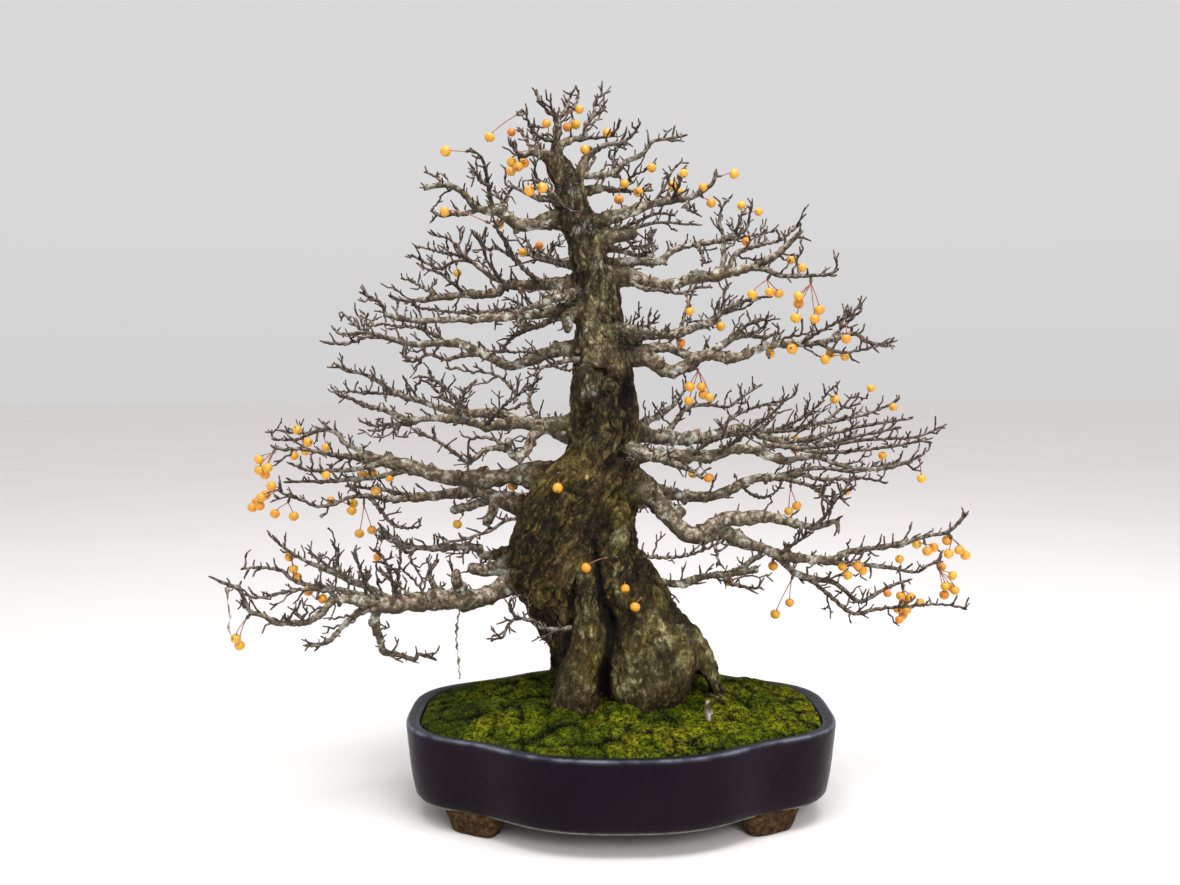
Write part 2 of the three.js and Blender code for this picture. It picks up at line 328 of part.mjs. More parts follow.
// Bunches of fruit: the branch that bears the spur, the spur's place, and each fruit, as x, z.
const BUNCHES = [
  ['seventhB', -130, 729, [[-159, 728]]],
  ['leaderMd', -74, 771, [[-111, 743]]],
  ['leaderMc', -22, 771, [[-26, 753], [-17, 756]]],
  ['leaderL', -77, 722, [[-87, 716], [-80, 711], [-73, 715], [-88, 706]]],
  ['frontA', -62, 696, [[-68, 685], [-54, 688]]],
  ['leaderRa', 3, 727, [[-7, 729]]],
  ['seventh', -96, 659, [[-102, 649]]],
  ['sixthM', -60, 615, [[-76, 618], [-58, 625]]],
  ['leaderRb', 26, 706, [[30, 675], [36, 692]]],
  ['leaderRd', 46, 684, [[51, 683]]],
  ['r7', 84, 674, [[89, 690], [95, 683]]],
  ['r7', 118, 682, [[131, 671]]],
  ['r7', 135, 701, [[156, 702]]],
  ['r6d', 163, 656, [[164, 668], [183, 661]]],
  ['r6e', 168, 641, [[170, 629]]],
  ['r5', 204, 615, [[219, 609], [231, 600]]],
  ['r5a', 195, 598, [[196, 574], [206, 572], [177, 571]]],
  ['r5a', 242, 592, [[228, 569], [228, 561], [225, 545], [246, 544], [251, 554]]],
  ['r4b', 128, 539, [[142, 536]]],
  ['r4b', 92, 529, [[98, 518]]],
  ['r4A', 192, 513, [[197, 506]]],
  ['r4A', 222, 517, [[221, 511]]],
  ['r4F', 266, 511, [[264, 506], [258, 499], [280, 503]]],
  ['r4', 112, 499, [[108, 470], [121, 470], [123, 461], [130, 458], [107, 454]]],
  ['r3H', 261, 463, [[269, 455]]],
  ['r3I', 304, 455, [[309, 467]]],
  ['midA', -322, 417, [[-329, 424], [-317, 410], [-320, 400], [-333, 395]]],
  ['midA', -297, 423, [[-297, 404]]],
  ['midB', -354, 404, [[-372, 391], [-372, 379], [-363, 382], [-366, 374]]],
  ['midD', -348, 365, [[-359, 361], [-373, 339], [-381, 337], [-371, 348], [-366, 351], [-376, 343]]],
  ['forkA', -338, 349, [[-356, 330], [-335, 327]]],
  ['forkA', -274, 348, [[-268, 341], [-270, 333], [-293, 344]]],
  ['mid', -248, 391, [[-256, 373], [-246, 375], [-243, 355]]],
  ['forkA', -256, 349, [[-262, 307], [-248, 311]]],
  ['slimB', -236, 304, [[-242, 280]]],
  ['lowF', -338, 285, [[-341, 281], [-337, 267], [-333, 258]]],
  ['lowD', -312, 243, [[-305, 233], [-321, 242]]],
  ['lowC', -387, 219, [[-404, 188], [-400, 180]]],
  ['forkD', -146, 335, [[-152, 317]]],
  ['mid', -86, 372, [[-90, 360]]],
  ['r1', 146, 259, [[152, 251]]],
  ['r2C', 205, 282, [[202, 268]]],
  ['r2F', 226, 261, [[205, 213], [221, 226]]],
  ['r2D', 284, 281, [[280, 267], [286, 257], [297, 268], [303, 262]]],
  ['r2D', 370, 300, [[363, 292], [375, 284], [382, 288]]],
  ['r2D', 400, 307, [[397, 296], [399, 281], [411, 285], [418, 279]]],
  ['r2E', 386, 270, [[391, 266], [404, 256], [396, 244], [402, 243], [407, 239], [395, 234]]],
  ['r2F', 346, 249, [[346, 233], [357, 232], [351, 226], [343, 218], [353, 217], [349, 211],
    [368, 225]]],
  ['r3b', 118, 393, [[112, 373], [129, 368]]],
  ['r3A', 215, 410, [[225, 411], [226, 399]]],
  ['r3cC', 222, 364, [[219, 330], [228, 336]]],
];
// Fruits whose spur grows straight from the front of the trunk.
const TRUNK_BUNCHES = [
  [-36, 374, [[-39, 359]]],
  [25, 287, [[-8, 267]]],
  [52, 244, [[47, 222]]],
];

// ---------------------------------------------------------------- helpers
const vec = (x, y, z) => new THREE.Vector3(x, y, z);
const UP = vec(0, 0, 1);

let seed = 20261;
function random() {
  seed = (seed * 16807) % 2147483647;
  return seed / 2147483647;
}

// A point of the front elevation carried to its depth along the line of sight from the eye point.
function place(x, z, depth) {
  const k = 1 + depth / EYE.distance;
  return vec(EYE.x + (x - EYE.x) * k, depth, EYE.z + (z - EYE.z) * k);
}

// Closed skin over a stack of rings of equally many points.
function loft(rings) {
  const count = rings[0].length;
  const bands = rings.length - 1;
  const geometry = new THREE.CylinderGeometry(1, 1, 1, count, bands);
  const at = geometry.attributes.position;
  for (let v = 0; v < at.count; v += 1) {
    const ring = rings[Math.round((0.5 - at.getY(v)) * bands)];
    const around = Math.atan2(at.getX(v), at.getZ(v)) / (2 * Math.PI);
    const index = (Math.round(around * count) + count) % count;
    const onAxis = Math.hypot(at.getX(v), at.getZ(v)) < 0.5;
    const point = onAxis ? middle(ring) : ring[index];
    at.setXYZ(v, point.x, point.y, point.z);
  }
  return geometry;
}

function middle(points) {
  const sum = vec(0, 0, 0);
  for (const point of points) sum.add(point);
  return sum.divideScalar(points.length);
}

// A three.js geometry as a manifold solid, with its faces turned outwards. Faces that a pointed end
// has drawn together to nothing are left out.
function solid(geometry) {
  const bare = geometry.clone();
  bare.deleteAttribute('normal');
  bare.deleteAttribute('uv');
  const merged = mergeVertices(bare, 1e-4);
  const vertProperties = new Float32Array(merged.attributes.position.array);
  const triVerts = new Uint32Array(properTriangles(merged.index.array));
  if (signedVolume(vertProperties, triVerts) < 0) {
    for (let t = 0; t < triVerts.length; t += 3) {
      const first = triVerts[t];
      triVerts[t] = triVerts[t + 1];
      triVerts[t + 1] = first;
    }
  }
  return new wasm.Manifold(new wasm.Mesh({ numProp: 3, vertProperties, triVerts }));
}

function properTriangles(index) {
  const kept = [];
  for (let t = 0; t < index.length; t += 3) {
    const [a, b, c] = index.slice(t, t + 3);
    if (a !== b && b !== c && c !== a) kept.push(a, b, c);
  }
  return kept;
}

function signedVolume(positions, triangles) {
  let volume = 0;
  const corner = [vec(0, 0, 0), vec(0, 0, 0), vec(0, 0, 0)];
  for (let t = 0; t < triangles.length; t += 3) {
    for (let c = 0; c < 3; c += 1) corner[c].fromArray(positions, 3 * triangles[t + c]);
    volume += corner[0].dot(corner[1].clone().cross(corner[2])) / 6;
  }
  return volume;
}

// The largest single body of a solid, without the slivers that its joins leave.
function tidy(manifold) {
  const bodies = manifold.simplify(SLIVER).decompose();
  let largest = bodies[0];
  for (const body of bodies) {
    if (body.volume() > largest.volume()) largest = body;
  }
  return largest;
}

const materials = {
  wood: new THREE.MeshStandardMaterial({ color: 0x6d6252, roughness: 0.9, metalness: 0 }),
  fruit: new THREE.MeshStandardMaterial({ color: 0xf0a41e, roughness: 0.35, metalness: 0 }),
  moss: new THREE.MeshStandardMaterial({ color: 0x5d7314, roughness: 1, metalness: 0 }),
  soil: new THREE.MeshStandardMaterial({ color: 0x4a3a2a, roughness: 1, metalness: 0 }),
  glaze: new THREE.MeshStandardMaterial({ color: 0x2a2230, roughness: 0.3, metalness: 0 }),
  screen: new THREE.MeshStandardMaterial({ color: 0x23302a, roughness: 0.6, metalness: 0 }),
};

function meshOf(manifold, name, material) {
  const { vertProperties, triVerts } = manifold.getMesh();
  const geometry = new THREE.BufferGeometry();
  geometry.setAttribute('position', new THREE.BufferAttribute(new Float32Array(vertProperties), 3));
  geometry.setIndex(new THREE.BufferAttribute(new Uint32Array(triVerts), 1));
  geometry.computeVertexNormals();
  const mesh = new THREE.Mesh(geometry, material);
  mesh.name = name;
  return mesh;
}

// Tube of changing radius along a route, its rings square to the route. A pointed one ends in a tip.
function tube(points, radii, sides, { grow = 0, pointed = false } = {}) {
  const rings = [];
  let side = null;
  for (let i = 0; i < points.length; i += 1) {
    const before = points[Math.max(i - 1, 0)];
    const after = points[Math.min(i + 1, points.length - 1)];
    const along = after.clone().sub(before).normalize();
    if (!side) side = Math.abs(along.z) > 0.9 ? vec(1, 0, 0) : UP.clone();
    side.sub(along.clone().multiplyScalar(side.dot(along))).normalize();
    const other = along.clone().cross(side);
    const ring = [];
    const tip = pointed && i === points.length - 1;
    const radius = tip ? 0 : radii[i] + grow;
    for (let s = 0; s < sides; s += 1) {
      const angle = (2 * Math.PI * s) / sides;
      ring.push(points[i].clone()
        .addScaledVector(side, radius * Math.cos(angle))
        .addScaledVector(other, radius * Math.sin(angle)));
    }
    rings.push(ring);
  }
  return solid(loft(rings));
}

// ---------------------------------------------------------------- trunk and roots
function trunkColumn(grow) {
  const rings = TRUNK.map(([z, left, right, front, back]) => {
    const ring = [];
    for (let s = 0; s < TRUNK_SIDES; s += 1) {
      const angle = (2 * Math.PI * s) / TRUNK_SIDES;
      const ridge = 1 + 0.035 * Math.sin(5 * angle + z / 45) + 0.025 * Math.sin(8 * angle - z / 30);
      const x = (left + right) / 2 + ((right - left) / 2) * ridge * Math.cos(angle);
      const y = (front + back) / 2 + ((back - front) / 2) * ridge * Math.sin(angle);
      const low = z === TRUNK[0][0] ? grow : 0;
      ring.push(vec(x + grow * Math.cos(angle), y + grow * Math.sin(angle), z - low));
    }
    return ring;
  });
  return solid(loft(rings));
}

function trunkSolid(grow = 0) {
  let trunk = trunkColumn(grow);
  for (const root of BUTTRESSES) {
    const points = root.map(([x, z, depth]) => place(x, z, depth));
    points[points.length - 1].z -= grow;
    const radii = root.map((point) => point[3]);
    trunk = trunk.add(tube(points, radii, ROOT_SIDES, { grow }));
  }
  const hollow = new THREE.SphereGeometry(1, 8, 6).scale(...HOLLOW.half);
  hollow.translate(HOLLOW.x, HOLLOW.y, HOLLOW.z);
  return trunk.subtract(solid(hollow));
}

// ---------------------------------------------------------------- limbs and branches
// Depth of a branch where the point x, z lies on it, read in the front elevation.
function depthAt(branch, x, z) {
  let best = Infinity;
  let depth = 0;
  for (let i = 0; i + 1 < branch.plan.length; i += 1) {
    const [ax, az] = branch.plan[i];
    const [bx, bz] = branch.plan[i + 1];
    const span = (bx - ax) ** 2 + (bz - az) ** 2;
    const t = Math.min(1, Math.max(0, ((x - ax) * (bx - ax) + (z - az) * (bz - az)) / span));
    const off = Math.hypot(x - ax - t * (bx - ax), z - az - t * (bz - az));
    if (off < best) {
      best = off;
      depth = branch.depths[i] + t * (branch.depths[i + 1] - branch.depths[i]);
    }
  }
  return depth;
}

function growBranches() {
  const branches = new Map();
  for (const [name, parent, baseRadius, tipRadius, tipDepth, plan] of BRANCHES) {
    const start = typeof parent === 'number'
      ? parent
      : depthAt(branches.get(parent), plan[0][0], plan[0][1]);
    const run = [0];
    for (let i = 1; i < plan.length; i += 1) {
      run.push(run[i - 1] + Math.hypot(plan[i][0] - plan[i - 1][0], plan[i][1] - plan[i - 1][1]));
    }
    const total = run[run.length - 1];
    const depths = [];
    const points = [];
    const radii = [];
    for (let i = 0; i < plan.length; i += 1) {
      const t = run[i] / total;
      const sway = i > 0 ? BRANCH.sway * (random() - 0.5) : 0;
      const knot = i > 0 ? 1 + BRANCH.knot * (random() - 0.5) : 1;
      depths.push(start + (tipDepth - start) * t + sway);
      points.push(place(plan[i][0], plan[i][1], depths[i]));
      radii.push((baseRadius + (tipRadius - baseRadius) * t ** BRANCH.taper) * knot);
    }
    const kept = [0, ...neededPoints(points, 0, points.length - 1)];
    const pick = (list) => kept.map((i) => list[i]);
    branches.set(name, {
      plan: pick(plan), depths: pick(depths), points: pick(points), radii: pick(radii),
    });
  }
  return branches;
}

const sidesFor = (radius) => (radius >= 8 ? 6 : radius >= 5 ? 4 : 3);

// The points of a route that its shape needs, by the Douglas-Peucker rule.
function neededPoints(points, first, last) {
  const line = new THREE.Line3(points[first], points[last]);
  let farthest = first;
  let most = BRANCH.tolerance;
  for (let i = first + 1; i < last; i += 1) {
    const off = line.closestPointToPoint(points[i], true, vec(0, 0, 0)).distanceTo(points[i]);
    if (off > most) {
      most = off;
      farthest = i;
    }
  }
  if (farthest === first) return [last];
  return [...neededPoints(points, first, farthest), ...neededPoints(points, farthest, last)];
}

// ---------------------------------------------------------------- clearances
// Every stretch of wood as a tapered capsule, so that fruit is hung clear of it.
function capsulesOf(points, radii) {
  const list = [];
  for (let i = 0; i + 1 < points.length; i += 1) {
    list.push({ a: points[i], b: points[i + 1], ra: radii[i], rb: radii[i + 1] });
  }
  return list;
}

const ballAt = (centre, radius) => (
  { a: centre, b: centre.clone().addScaledVector(UP, 0.01), ra: radius, rb: radius });

// Smallest distance from a point to the surface of any of the capsules.
function clearance(point, capsules) {
  let least = Infinity;
  for (const { a, b, ra, rb } of capsules) {
    const dx = b.x - a.x;
    const dy = b.y - a.y;
    const dz = b.z - a.z;
    const along = (point.x - a.x) * dx + (point.y - a.y) * dy + (point.z - a.z) * dz;
    const t = Math.min(1, Math.max(0, along / (dx * dx + dy * dy + dz * dz)));
    const off = Math.hypot(point.x - a.x - t * dx, point.y - a.y - t * dy, point.z - a.z - t * dz);
    least = Math.min(least, off - (ra + t * (rb - ra)));
  }
  return least;
}

// ---------------------------------------------------------------- fruit
// Route of a stalk: a lone one leaves its spur the way the spur points before it hangs to its fruit,
// and those of a bunch spread straight from its hub.
function stalkRoute(from, out, to, lone) {
  const bend = from.clone().addScaledVector(out, 1.5 + 0.14 * from.distanceTo(to));
  return lone ? [from, bend, to] : [from, to];
}

function samplesAlong(points, step) {
  const samples = [];
  let run = 0;
  for (let i = 0; i + 1 < points.length; i += 1) {
    const length = points[i].distanceTo(points[i + 1]);
    const count = Math.max(1, Math.ceil(length / step));
    for (let s = 0; s <= count; s += 1) {
      const point = points[i].clone().lerp(points[i + 1], s / count);
      samples.push({ point, run: run + (length * s) / count });
    }
    run += length;
  }
  return samples;
}

// The hub of a bunch stands 0.3 mm off the end of its spur, and each fruit takes the first depth,
// nearest to the spur's, at which it and its stalk hang clear of the wood and of the other bunches.
function hangFruits(hub, out, fruits, wood, others, trunkFront) {
  const hung = [];
  const lone = fruits.length === 1;
  for (const [x, z] of fruits) {
    let chosen = null;
    for (let n = 0; n < HANG.tries && !chosen; n += 1) {
      const shift = (n % 2 ? 1 : -1) * Math.ceil(n / 2) * HANG.step;
      const centre = place(x, z, hub.y + shift);
      const route = stalkRoute(hub, out, centre, lone);
      const crowded = hung.some((one) => one.centre.distanceTo(centre) < HANG.apart);
      const inTrunk = trunkFront
        && trunkFront(x, z) < centre.y + FRUIT.radius + HANG.trunkRoom;
      if (!crowded && !inTrunk && hangsClear(centre, route, lone, wood, others)) {
        chosen = { centre, route };
      }
    }
    if (chosen) hung.push(chosen);
  }
  return hung;
}

function hangsClear(centre, route, lone, wood, others) {
  const room = Math.min(clearance(centre, wood), clearance(centre, others)) - FRUIT.radius;
  if (room <= HANG.fruitRoom) return false;
  return samplesAlong(route, 2).every(({ point, run }) => {
    const need = run < HANG.seat ? FRUIT.stalk : FRUIT.stalk + HANG.stalkRoom;
    const woodClear = (lone && run < HANG.seat) || clearance(point, wood) > need;
    return woodClear && clearance(point, others) > FRUIT.stalk + HANG.stalkRoom;
  });
}

// An icosahedral fruit with one of its faces turned to where the stalk comes from.
function fruitAt(centre, from) {
  const fruit = new THREE.IcosahedronGeometry(FRUIT.radius);
  const at = fruit.attributes.position;
  const corners = [0, 1, 2].map((i) => vec(0, 0, 0).fromBufferAttribute(at, i));
  const turn = new THREE.Quaternion()
    .setFromUnitVectors(middle(corners).normalize(), from.clone().sub(centre).normalize());
  return solid(fruit.applyQuaternion(turn).translate(centre.x, centre.y, centre.z));
}

function bunchSolid(hub, hung) {
  let bunch = hung.length > 1
    ? solid(new THREE.OctahedronGeometry(FRUIT.hub).translate(hub.x, hub.y, hub.z))
    : null;
  for (const { centre, route } of hung) {
    const stalk = tube(route, route.map(() => FRUIT.stalk), 3);
    const fruit = fruitAt(centre, route[route.length - 2]);
    bunch = bunch ? bunch.add(stalk) : stalk;
    bunch = bunch.add(fruit);
  }
  return tidy(bunch);
}

// Nearest point on a branch to x, z in the front elevation, with its radius and direction.
function seatOn(branch, x, z) {
  const target = place(x, z, depthAt(branch, x, z));
  let best = null;
  for (let i = 0; i + 1 < branch.points.length; i += 1) {
    const a = branch.points[i];
    const b = branch.points[i + 1];
    const line = new THREE.Line3(a, b);
    const t = line.closestPointToPointParameter(target, true);
    const point = line.at(t, vec(0, 0, 0));
    const off = point.distanceTo(target);
    if (!best || off < best.off) {
      const along = b.clone().sub(a).normalize();
      const radius = branch.radii[i] + t * (branch.radii[i + 1] - branch.radii[i]);
      best = { point, off, along, radius };
    }
  }
  return best;
}

// Direction of a fruiting spur: towards its fruits, but square to the wood that bears it.
function spurDirection(seat, fruits) {
  const aims = fruits.map(([x, z]) => place(x, z, seat.point.y));
  const towards = middle(aims).sub(seat.point).normalize();
  towards.addScaledVector(seat.along, -0.85 * towards.dot(seat.along));
  if (towards.length() < 0.25) towards.addScaledVector(vec(0, -1, 0), 0.6);
  return towards.normalize();
}

// ---------------------------------------------------------------- seeded twigs
function growTwigs(branches, keepClear) {
  const twigs = [];
  for (const { points, radii } of branches.values()) {
    let next = TWIG.spacing * (0.5 + random());
    let run = 0;
    for (let i = 0; i + 1 < points.length; i += 1) {
      const length = points[i].distanceTo(points[i + 1]);
      const along = points[i + 1].clone().sub(points[i]).divideScalar(length);
      while (next < run + length) {
        const t = (next - run) / length;
        const from = points[i].clone().lerp(points[i + 1], t);
        const radius = radii[i] + t * (radii[i + 1] - radii[i]);
        const angle = 2 * Math.PI * random();
        const reach = TWIG.shortest + (TWIG.longest - TWIG.shortest) * random() + radius;
        const bend = vec(random() - 0.5, random() - 0.5, random() - 0.3);
        const twig = twigRoute(from, along, angle, reach, bend);
        const clear = samplesAlong(twig, 3)
          .every(({ point }) => clearance(point, keepClear) > TWIG.radius + TWIG.room);
        if (clear && next > TWIG.bare) twigs.push(twig);
        next += TWIG.spacing * (0.55 + 0.9 * random());
      }
      run += length;
    }
  }
  return twigs;
}

function twigRoute(from, along, angle, reach, bend) {
  const across = along.clone().cross(UP);
  if (across.length() < 0.2) across.copy(along).cross(vec(1, 0, 0));
  across.normalize();
  const over = across.clone().cross(along);
  const out = across.multiplyScalar(Math.cos(angle)).addScaledVector(over, Math.sin(angle));
  out.addScaledVector(UP, 0.4).addScaledVector(along, 0.55).normalize();
  const mid = from.clone().addScaledVector(out, reach * 0.55);
  const tip = mid.clone().addScaledVector(out.addScaledVector(bend, 1.1).normalize(), reach * 0.45);
  return [from, mid, tip];
}

// ---------------------------------------------------------------- the tree with its fruit
function buildTree() {
  const branches = growBranches();
  const wood = [];
  for (const { points, radii } of branches.values()) wood.push(...capsulesOf(points, radii));
  const pieces = [trunkSolid()];
  const trunkMesh = meshOf(pieces[0], 'trunk', materials.wood);
  for (const { points, radii } of branches.values()) {
    pieces.push(tube(points, radii, sidesFor(radii[0]), { pointed: radii[radii.length - 1] < 2 }));
  }

  const seats = BUNCHES.map(([bearer, x, z, fruits]) => {
    const seat = seatOn(branches.get(bearer), x, z);
    return { ...seat, out: spurDirection(seat, fruits), fruits };
  });
  const front = (x, z) => frontOf(trunkMesh, x, z).y;
  for (const [x, z, fruits] of TRUNK_BUNCHES) {
    const point = frontOf(trunkMesh, x, z);
    seats.push({ point, radius: 0, out: vec(0, -1, 0.2).normalize(), fruits, front });
  }

  // every spur first, so that each bunch is hung clear of all of them
  const hubs = [];
  for (const { point, radius, out } of seats) {
    let reach = radius + SPUR.reach;
    const seatOfHub = () => point.clone().addScaledVector(out, reach + GAP + FRUIT.hub);
    while (clearance(seatOfHub(), wood) < FRUIT.hub + 2 * GAP) reach += 1;
    const end = point.clone().addScaledVector(out, reach);
    const root = point.clone().addScaledVector(out, radius > 0 ? 0 : -SPUR.root);
    const spur = [root, end];
    const radii = [SPUR.radius, SPUR.radius];
    pieces.push(tube(spur, radii, 3));
    wood.push(...capsulesOf(spur, [SPUR.radius, 0.6 * SPUR.radius]));
    hubs.push(end);
  }
  const bunches = [];
  const hanging = [];
  seats.forEach(({ out, fruits, front: trunkFront }, i) => {
    const single = fruits.length === 1;
    const hub = hubs[i].clone().addScaledVector(out, GAP + (single ? 0 : FRUIT.hub));
    const hung = hangFruits(hub, out, fruits, wood, hanging, trunkFront);
    if (!hung.length) return;
    hanging.push(ballAt(hub, FRUIT.hub));
    for (const { centre, route } of hung) {
      hanging.push(ballAt(centre, FRUIT.radius));
      hanging.push(...capsulesOf(route, [FRUIT.stalk, FRUIT.stalk, FRUIT.stalk]));
    }
    bunches.push(bunchSolid(hub, hung));
  });

  for (const twig of growTwigs(branches, hanging)) {
    pieces.push(tube([twig[0], twig[2]], [TWIG.radius, 0], 3, { pointed: true }));
  }
  const tree = tidy(wasm.Manifold.union(pieces));
  return { tree, bunches };
}

// Point on the front face of a mesh at x, z.
function frontOf(mesh, x, z) {
  mesh.updateMatrixWorld();
  const ray = new THREE.Raycaster(vec(x, -400, z), vec(0, 1, 0));
  mesh.material.side = THREE.DoubleSide;
  const hits = ray.intersectObject(mesh);
  mesh.material.side = THREE.FrontSide;
  return hits[0].point;
}

// ---------------------------------------------------------------- pot
// Distance from the pot's centre to its outline, drawn in by inset all round.
function potRadius(angle, inset) {
  const c = Math.abs(Math.cos(angle));
  const s = Math.abs(Math.sin(angle));
  const lobe = ([a, b, n]) => ((c / a) ** n + (s / b) ** n) ** (-1 / n);
  const p = POT.blend;
  return (lobe(POT.side) ** p + lobe(POT.front) ** p) ** (1 / p) - inset;
}

function potRing(z, inset) {
  const ring = [];
  for (let i = 0; i < POT.points; i += 1) {
    const angle = (2 * Math.PI * i) / POT.points;
    const radius = potRadius(angle, inset);
    ring.push(vec(POT.x + radius * Math.cos(angle), radius * Math.sin(angle), z));
  }
  return ring;
}

function potFoot(side, end) {
  const rings = FOOT.sections.map(([z, halfLong, halfDeep]) => {
    const ring = [];
    for (let i = 0; i < FOOT.points; i += 1) {
      const angle = (2 * Math.PI * (i + 0.5)) / FOOT.points;
      const c = Math.cos(angle);
      const s = Math.sin(angle);
      const x = halfLong * Math.sign(c) * Math.abs(c) ** FOOT.squareness;
      const y = halfDeep * Math.sign(s) * Math.abs(s) ** FOOT.squareness;
      ring.push(vec(x, y, z));
    }
    return ring;
  });
  const foot = loft(rings).rotateZ(-side * end * FOOT.turn);
  foot.translate(POT.x + side * FOOT.x, end * FOOT.y, 0);
  return solid(foot);
}

function potSolid() {
  let pot = solid(loft(WALL.map(([z, inset]) => potRing(z, inset))));
  pot = pot.subtract(solid(loft(CAVITY.map(([z, inset]) => potRing(z, inset)))));
  for (const side of [-1, 1]) {
    for (const end of [-1, 1]) pot = pot.add(potFoot(side, end));
    const drain = new THREE.CylinderGeometry(POT.drainRadius, POT.drainRadius, 40, 16)
      .rotateX(Math.PI / 2).translate(POT.x + side * POT.drainX, 0, POT.floorTop - 5);
    pot = pot.subtract(solid(drain));
  }
  return tidy(pot);
}

function screenSolid(side) {
  const z = POT.floorTop + GAP + SCREEN.thick / 2;
  const x = POT.x + side * POT.drainX;
  let screen = solid(new THREE.BoxGeometry(SCREEN.size, SCREEN.size, SCREEN.thick).translate(x, 0, z));
  const first = (-(SCREEN.count - 1) / 2) * SCREEN.pitch;
  for (let i = 0; i < SCREEN.count; i += 1) {
    for (let j = 0; j < SCREEN.count; j += 1) {
      const hole = new THREE.BoxGeometry(SCREEN.hole, SCREEN.hole, 4)
        .translate(x + first + i * SCREEN.pitch, first + j * SCREEN.pitch, z);
      screen = screen.subtract(solid(hole));
    }
  }
  return screen;
}

// ---------------------------------------------------------------- soil and moss
function soilSolid(grownTrunk) {
  const [[floor, floorInset], [bend, bendInset]] = CAVITY;
  const rings = [[floor + GAP, floorInset + GAP], [bend, bendInset + 2 * GAP], [SOIL.top, POT.rim + 2.2]];
  let soil = solid(loft(rings.map(([z, inset]) => potRing(z, inset))));
  for (const side of [-1, 1]) {
    const roomy = SCREEN.size + 2 * GAP;
    const roof = POT.floorTop + SCREEN.thick + 2 * GAP;
    const pocket = new THREE.BoxGeometry(roomy, roomy, SOIL.pocket)
      .translate(POT.x + side * POT.drainX, 0, roof - SOIL.pocket / 2);
    soil = soil.subtract(solid(pocket));
  }
  return tidy(soil.subtract(grownTrunk));
}

// Height of the moss at x, y, where reach runs from 0 in the middle to 1 at the pot wall.
function mossHeight(x, y, reach) {
  const mound = MOSS.rise * (1 - reach ** 2) ** 0.7;
  const lumps = Math.abs(Math.sin(x / 17 + 0.6 * Math.sin(y / 23))) * Math.abs(Math.sin(y / 14 + x / 61));
  return MOSS.edge + mound + MOSS.cushion * (2 * Math.sqrt(lumps) - 1) * (1 - 0.6 * reach ** 4);
}

function mossSolid(grownTrunk) {
  const inset = POT.rim + 0.5 + GAP;
  const rings = [];
  const base = SOIL.top + GAP;
  const flat = potRing(base, inset + 1.2);
  rings.push(flat);
  for (let r = MOSS.rings; r > 0; r -= 1) {
    const reach = r / MOSS.rings;
    rings.push(flat.map((edge) => {
      const x = POT.x + (edge.x - POT.x) * reach;
      const y = edge.y * reach;
      return vec(x, y, mossHeight(x, y, reach));
    }));
  }
  return tidy(solid(loft(rings)).subtract(grownTrunk));
}

// ---------------------------------------------------------------- assembly
const bonsai = new THREE.Group();
const { tree, bunches } = buildTree();
const grownTrunk = trunkSolid(GAP);
bonsai.add(meshOf(tree, 'tree_wood', materials.wood));
bunches.forEach((bunch, i) => {
  const name = `fruit_${String(i + 1).padStart(2, '0')}`;
  bonsai.add(meshOf(bunch, name, materials.fruit));
});
bonsai.add(meshOf(mossSolid(grownTrunk), 'moss', materials.moss));
bonsai.add(meshOf(soilSolid(grownTrunk), 'soil', materials.soil));
bonsai.add(meshOf(potSolid(), 'pot', materials.glaze));
bonsai.add(meshOf(screenSolid(-1), 'drain_screen_left', materials.screen));
bonsai.add(meshOf(screenSolid(1), 'drain_screen_right', materials.screen));

// the origin goes under the middle of the whole object
const box = new THREE.Box3().setFromObject(bonsai);
bonsai.position.set(-(box.min.x + box.max.x) / 2, -(box.min.y + box.max.y) / 2, 0);

export default bonsai;
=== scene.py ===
"""Looks of the crabapple bonsai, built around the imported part: the trunk and roots, the limbs with
their twigs and spurs, the fruit, the moss and the glazed pot, with the floor, the light and the camera."""
from collections import namedtuple
import json
import math

import bpy
import numpy as np
from mathutils import Euler, Matrix, Vector

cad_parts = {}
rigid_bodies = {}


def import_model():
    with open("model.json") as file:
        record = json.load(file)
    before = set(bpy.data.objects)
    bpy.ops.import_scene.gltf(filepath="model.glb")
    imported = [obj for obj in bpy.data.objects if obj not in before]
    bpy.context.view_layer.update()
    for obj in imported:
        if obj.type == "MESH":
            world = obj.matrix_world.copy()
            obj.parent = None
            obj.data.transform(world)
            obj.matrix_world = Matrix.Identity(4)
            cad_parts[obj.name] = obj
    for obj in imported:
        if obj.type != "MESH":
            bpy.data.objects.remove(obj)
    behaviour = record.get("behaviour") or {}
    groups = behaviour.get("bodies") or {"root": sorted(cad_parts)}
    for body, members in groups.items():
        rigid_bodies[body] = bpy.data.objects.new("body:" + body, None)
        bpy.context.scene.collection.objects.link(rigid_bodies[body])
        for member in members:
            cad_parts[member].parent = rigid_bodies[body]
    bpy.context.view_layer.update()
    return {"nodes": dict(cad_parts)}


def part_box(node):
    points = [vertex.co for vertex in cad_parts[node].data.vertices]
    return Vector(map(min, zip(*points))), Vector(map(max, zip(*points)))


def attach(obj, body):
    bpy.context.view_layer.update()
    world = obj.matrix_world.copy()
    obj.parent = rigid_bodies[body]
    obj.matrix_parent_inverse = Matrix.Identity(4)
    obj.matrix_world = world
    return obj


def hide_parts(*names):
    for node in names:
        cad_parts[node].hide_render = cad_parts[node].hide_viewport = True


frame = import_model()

SEED = 20261                     # of everything random here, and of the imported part's own branches
rng = np.random.default_rng(SEED)

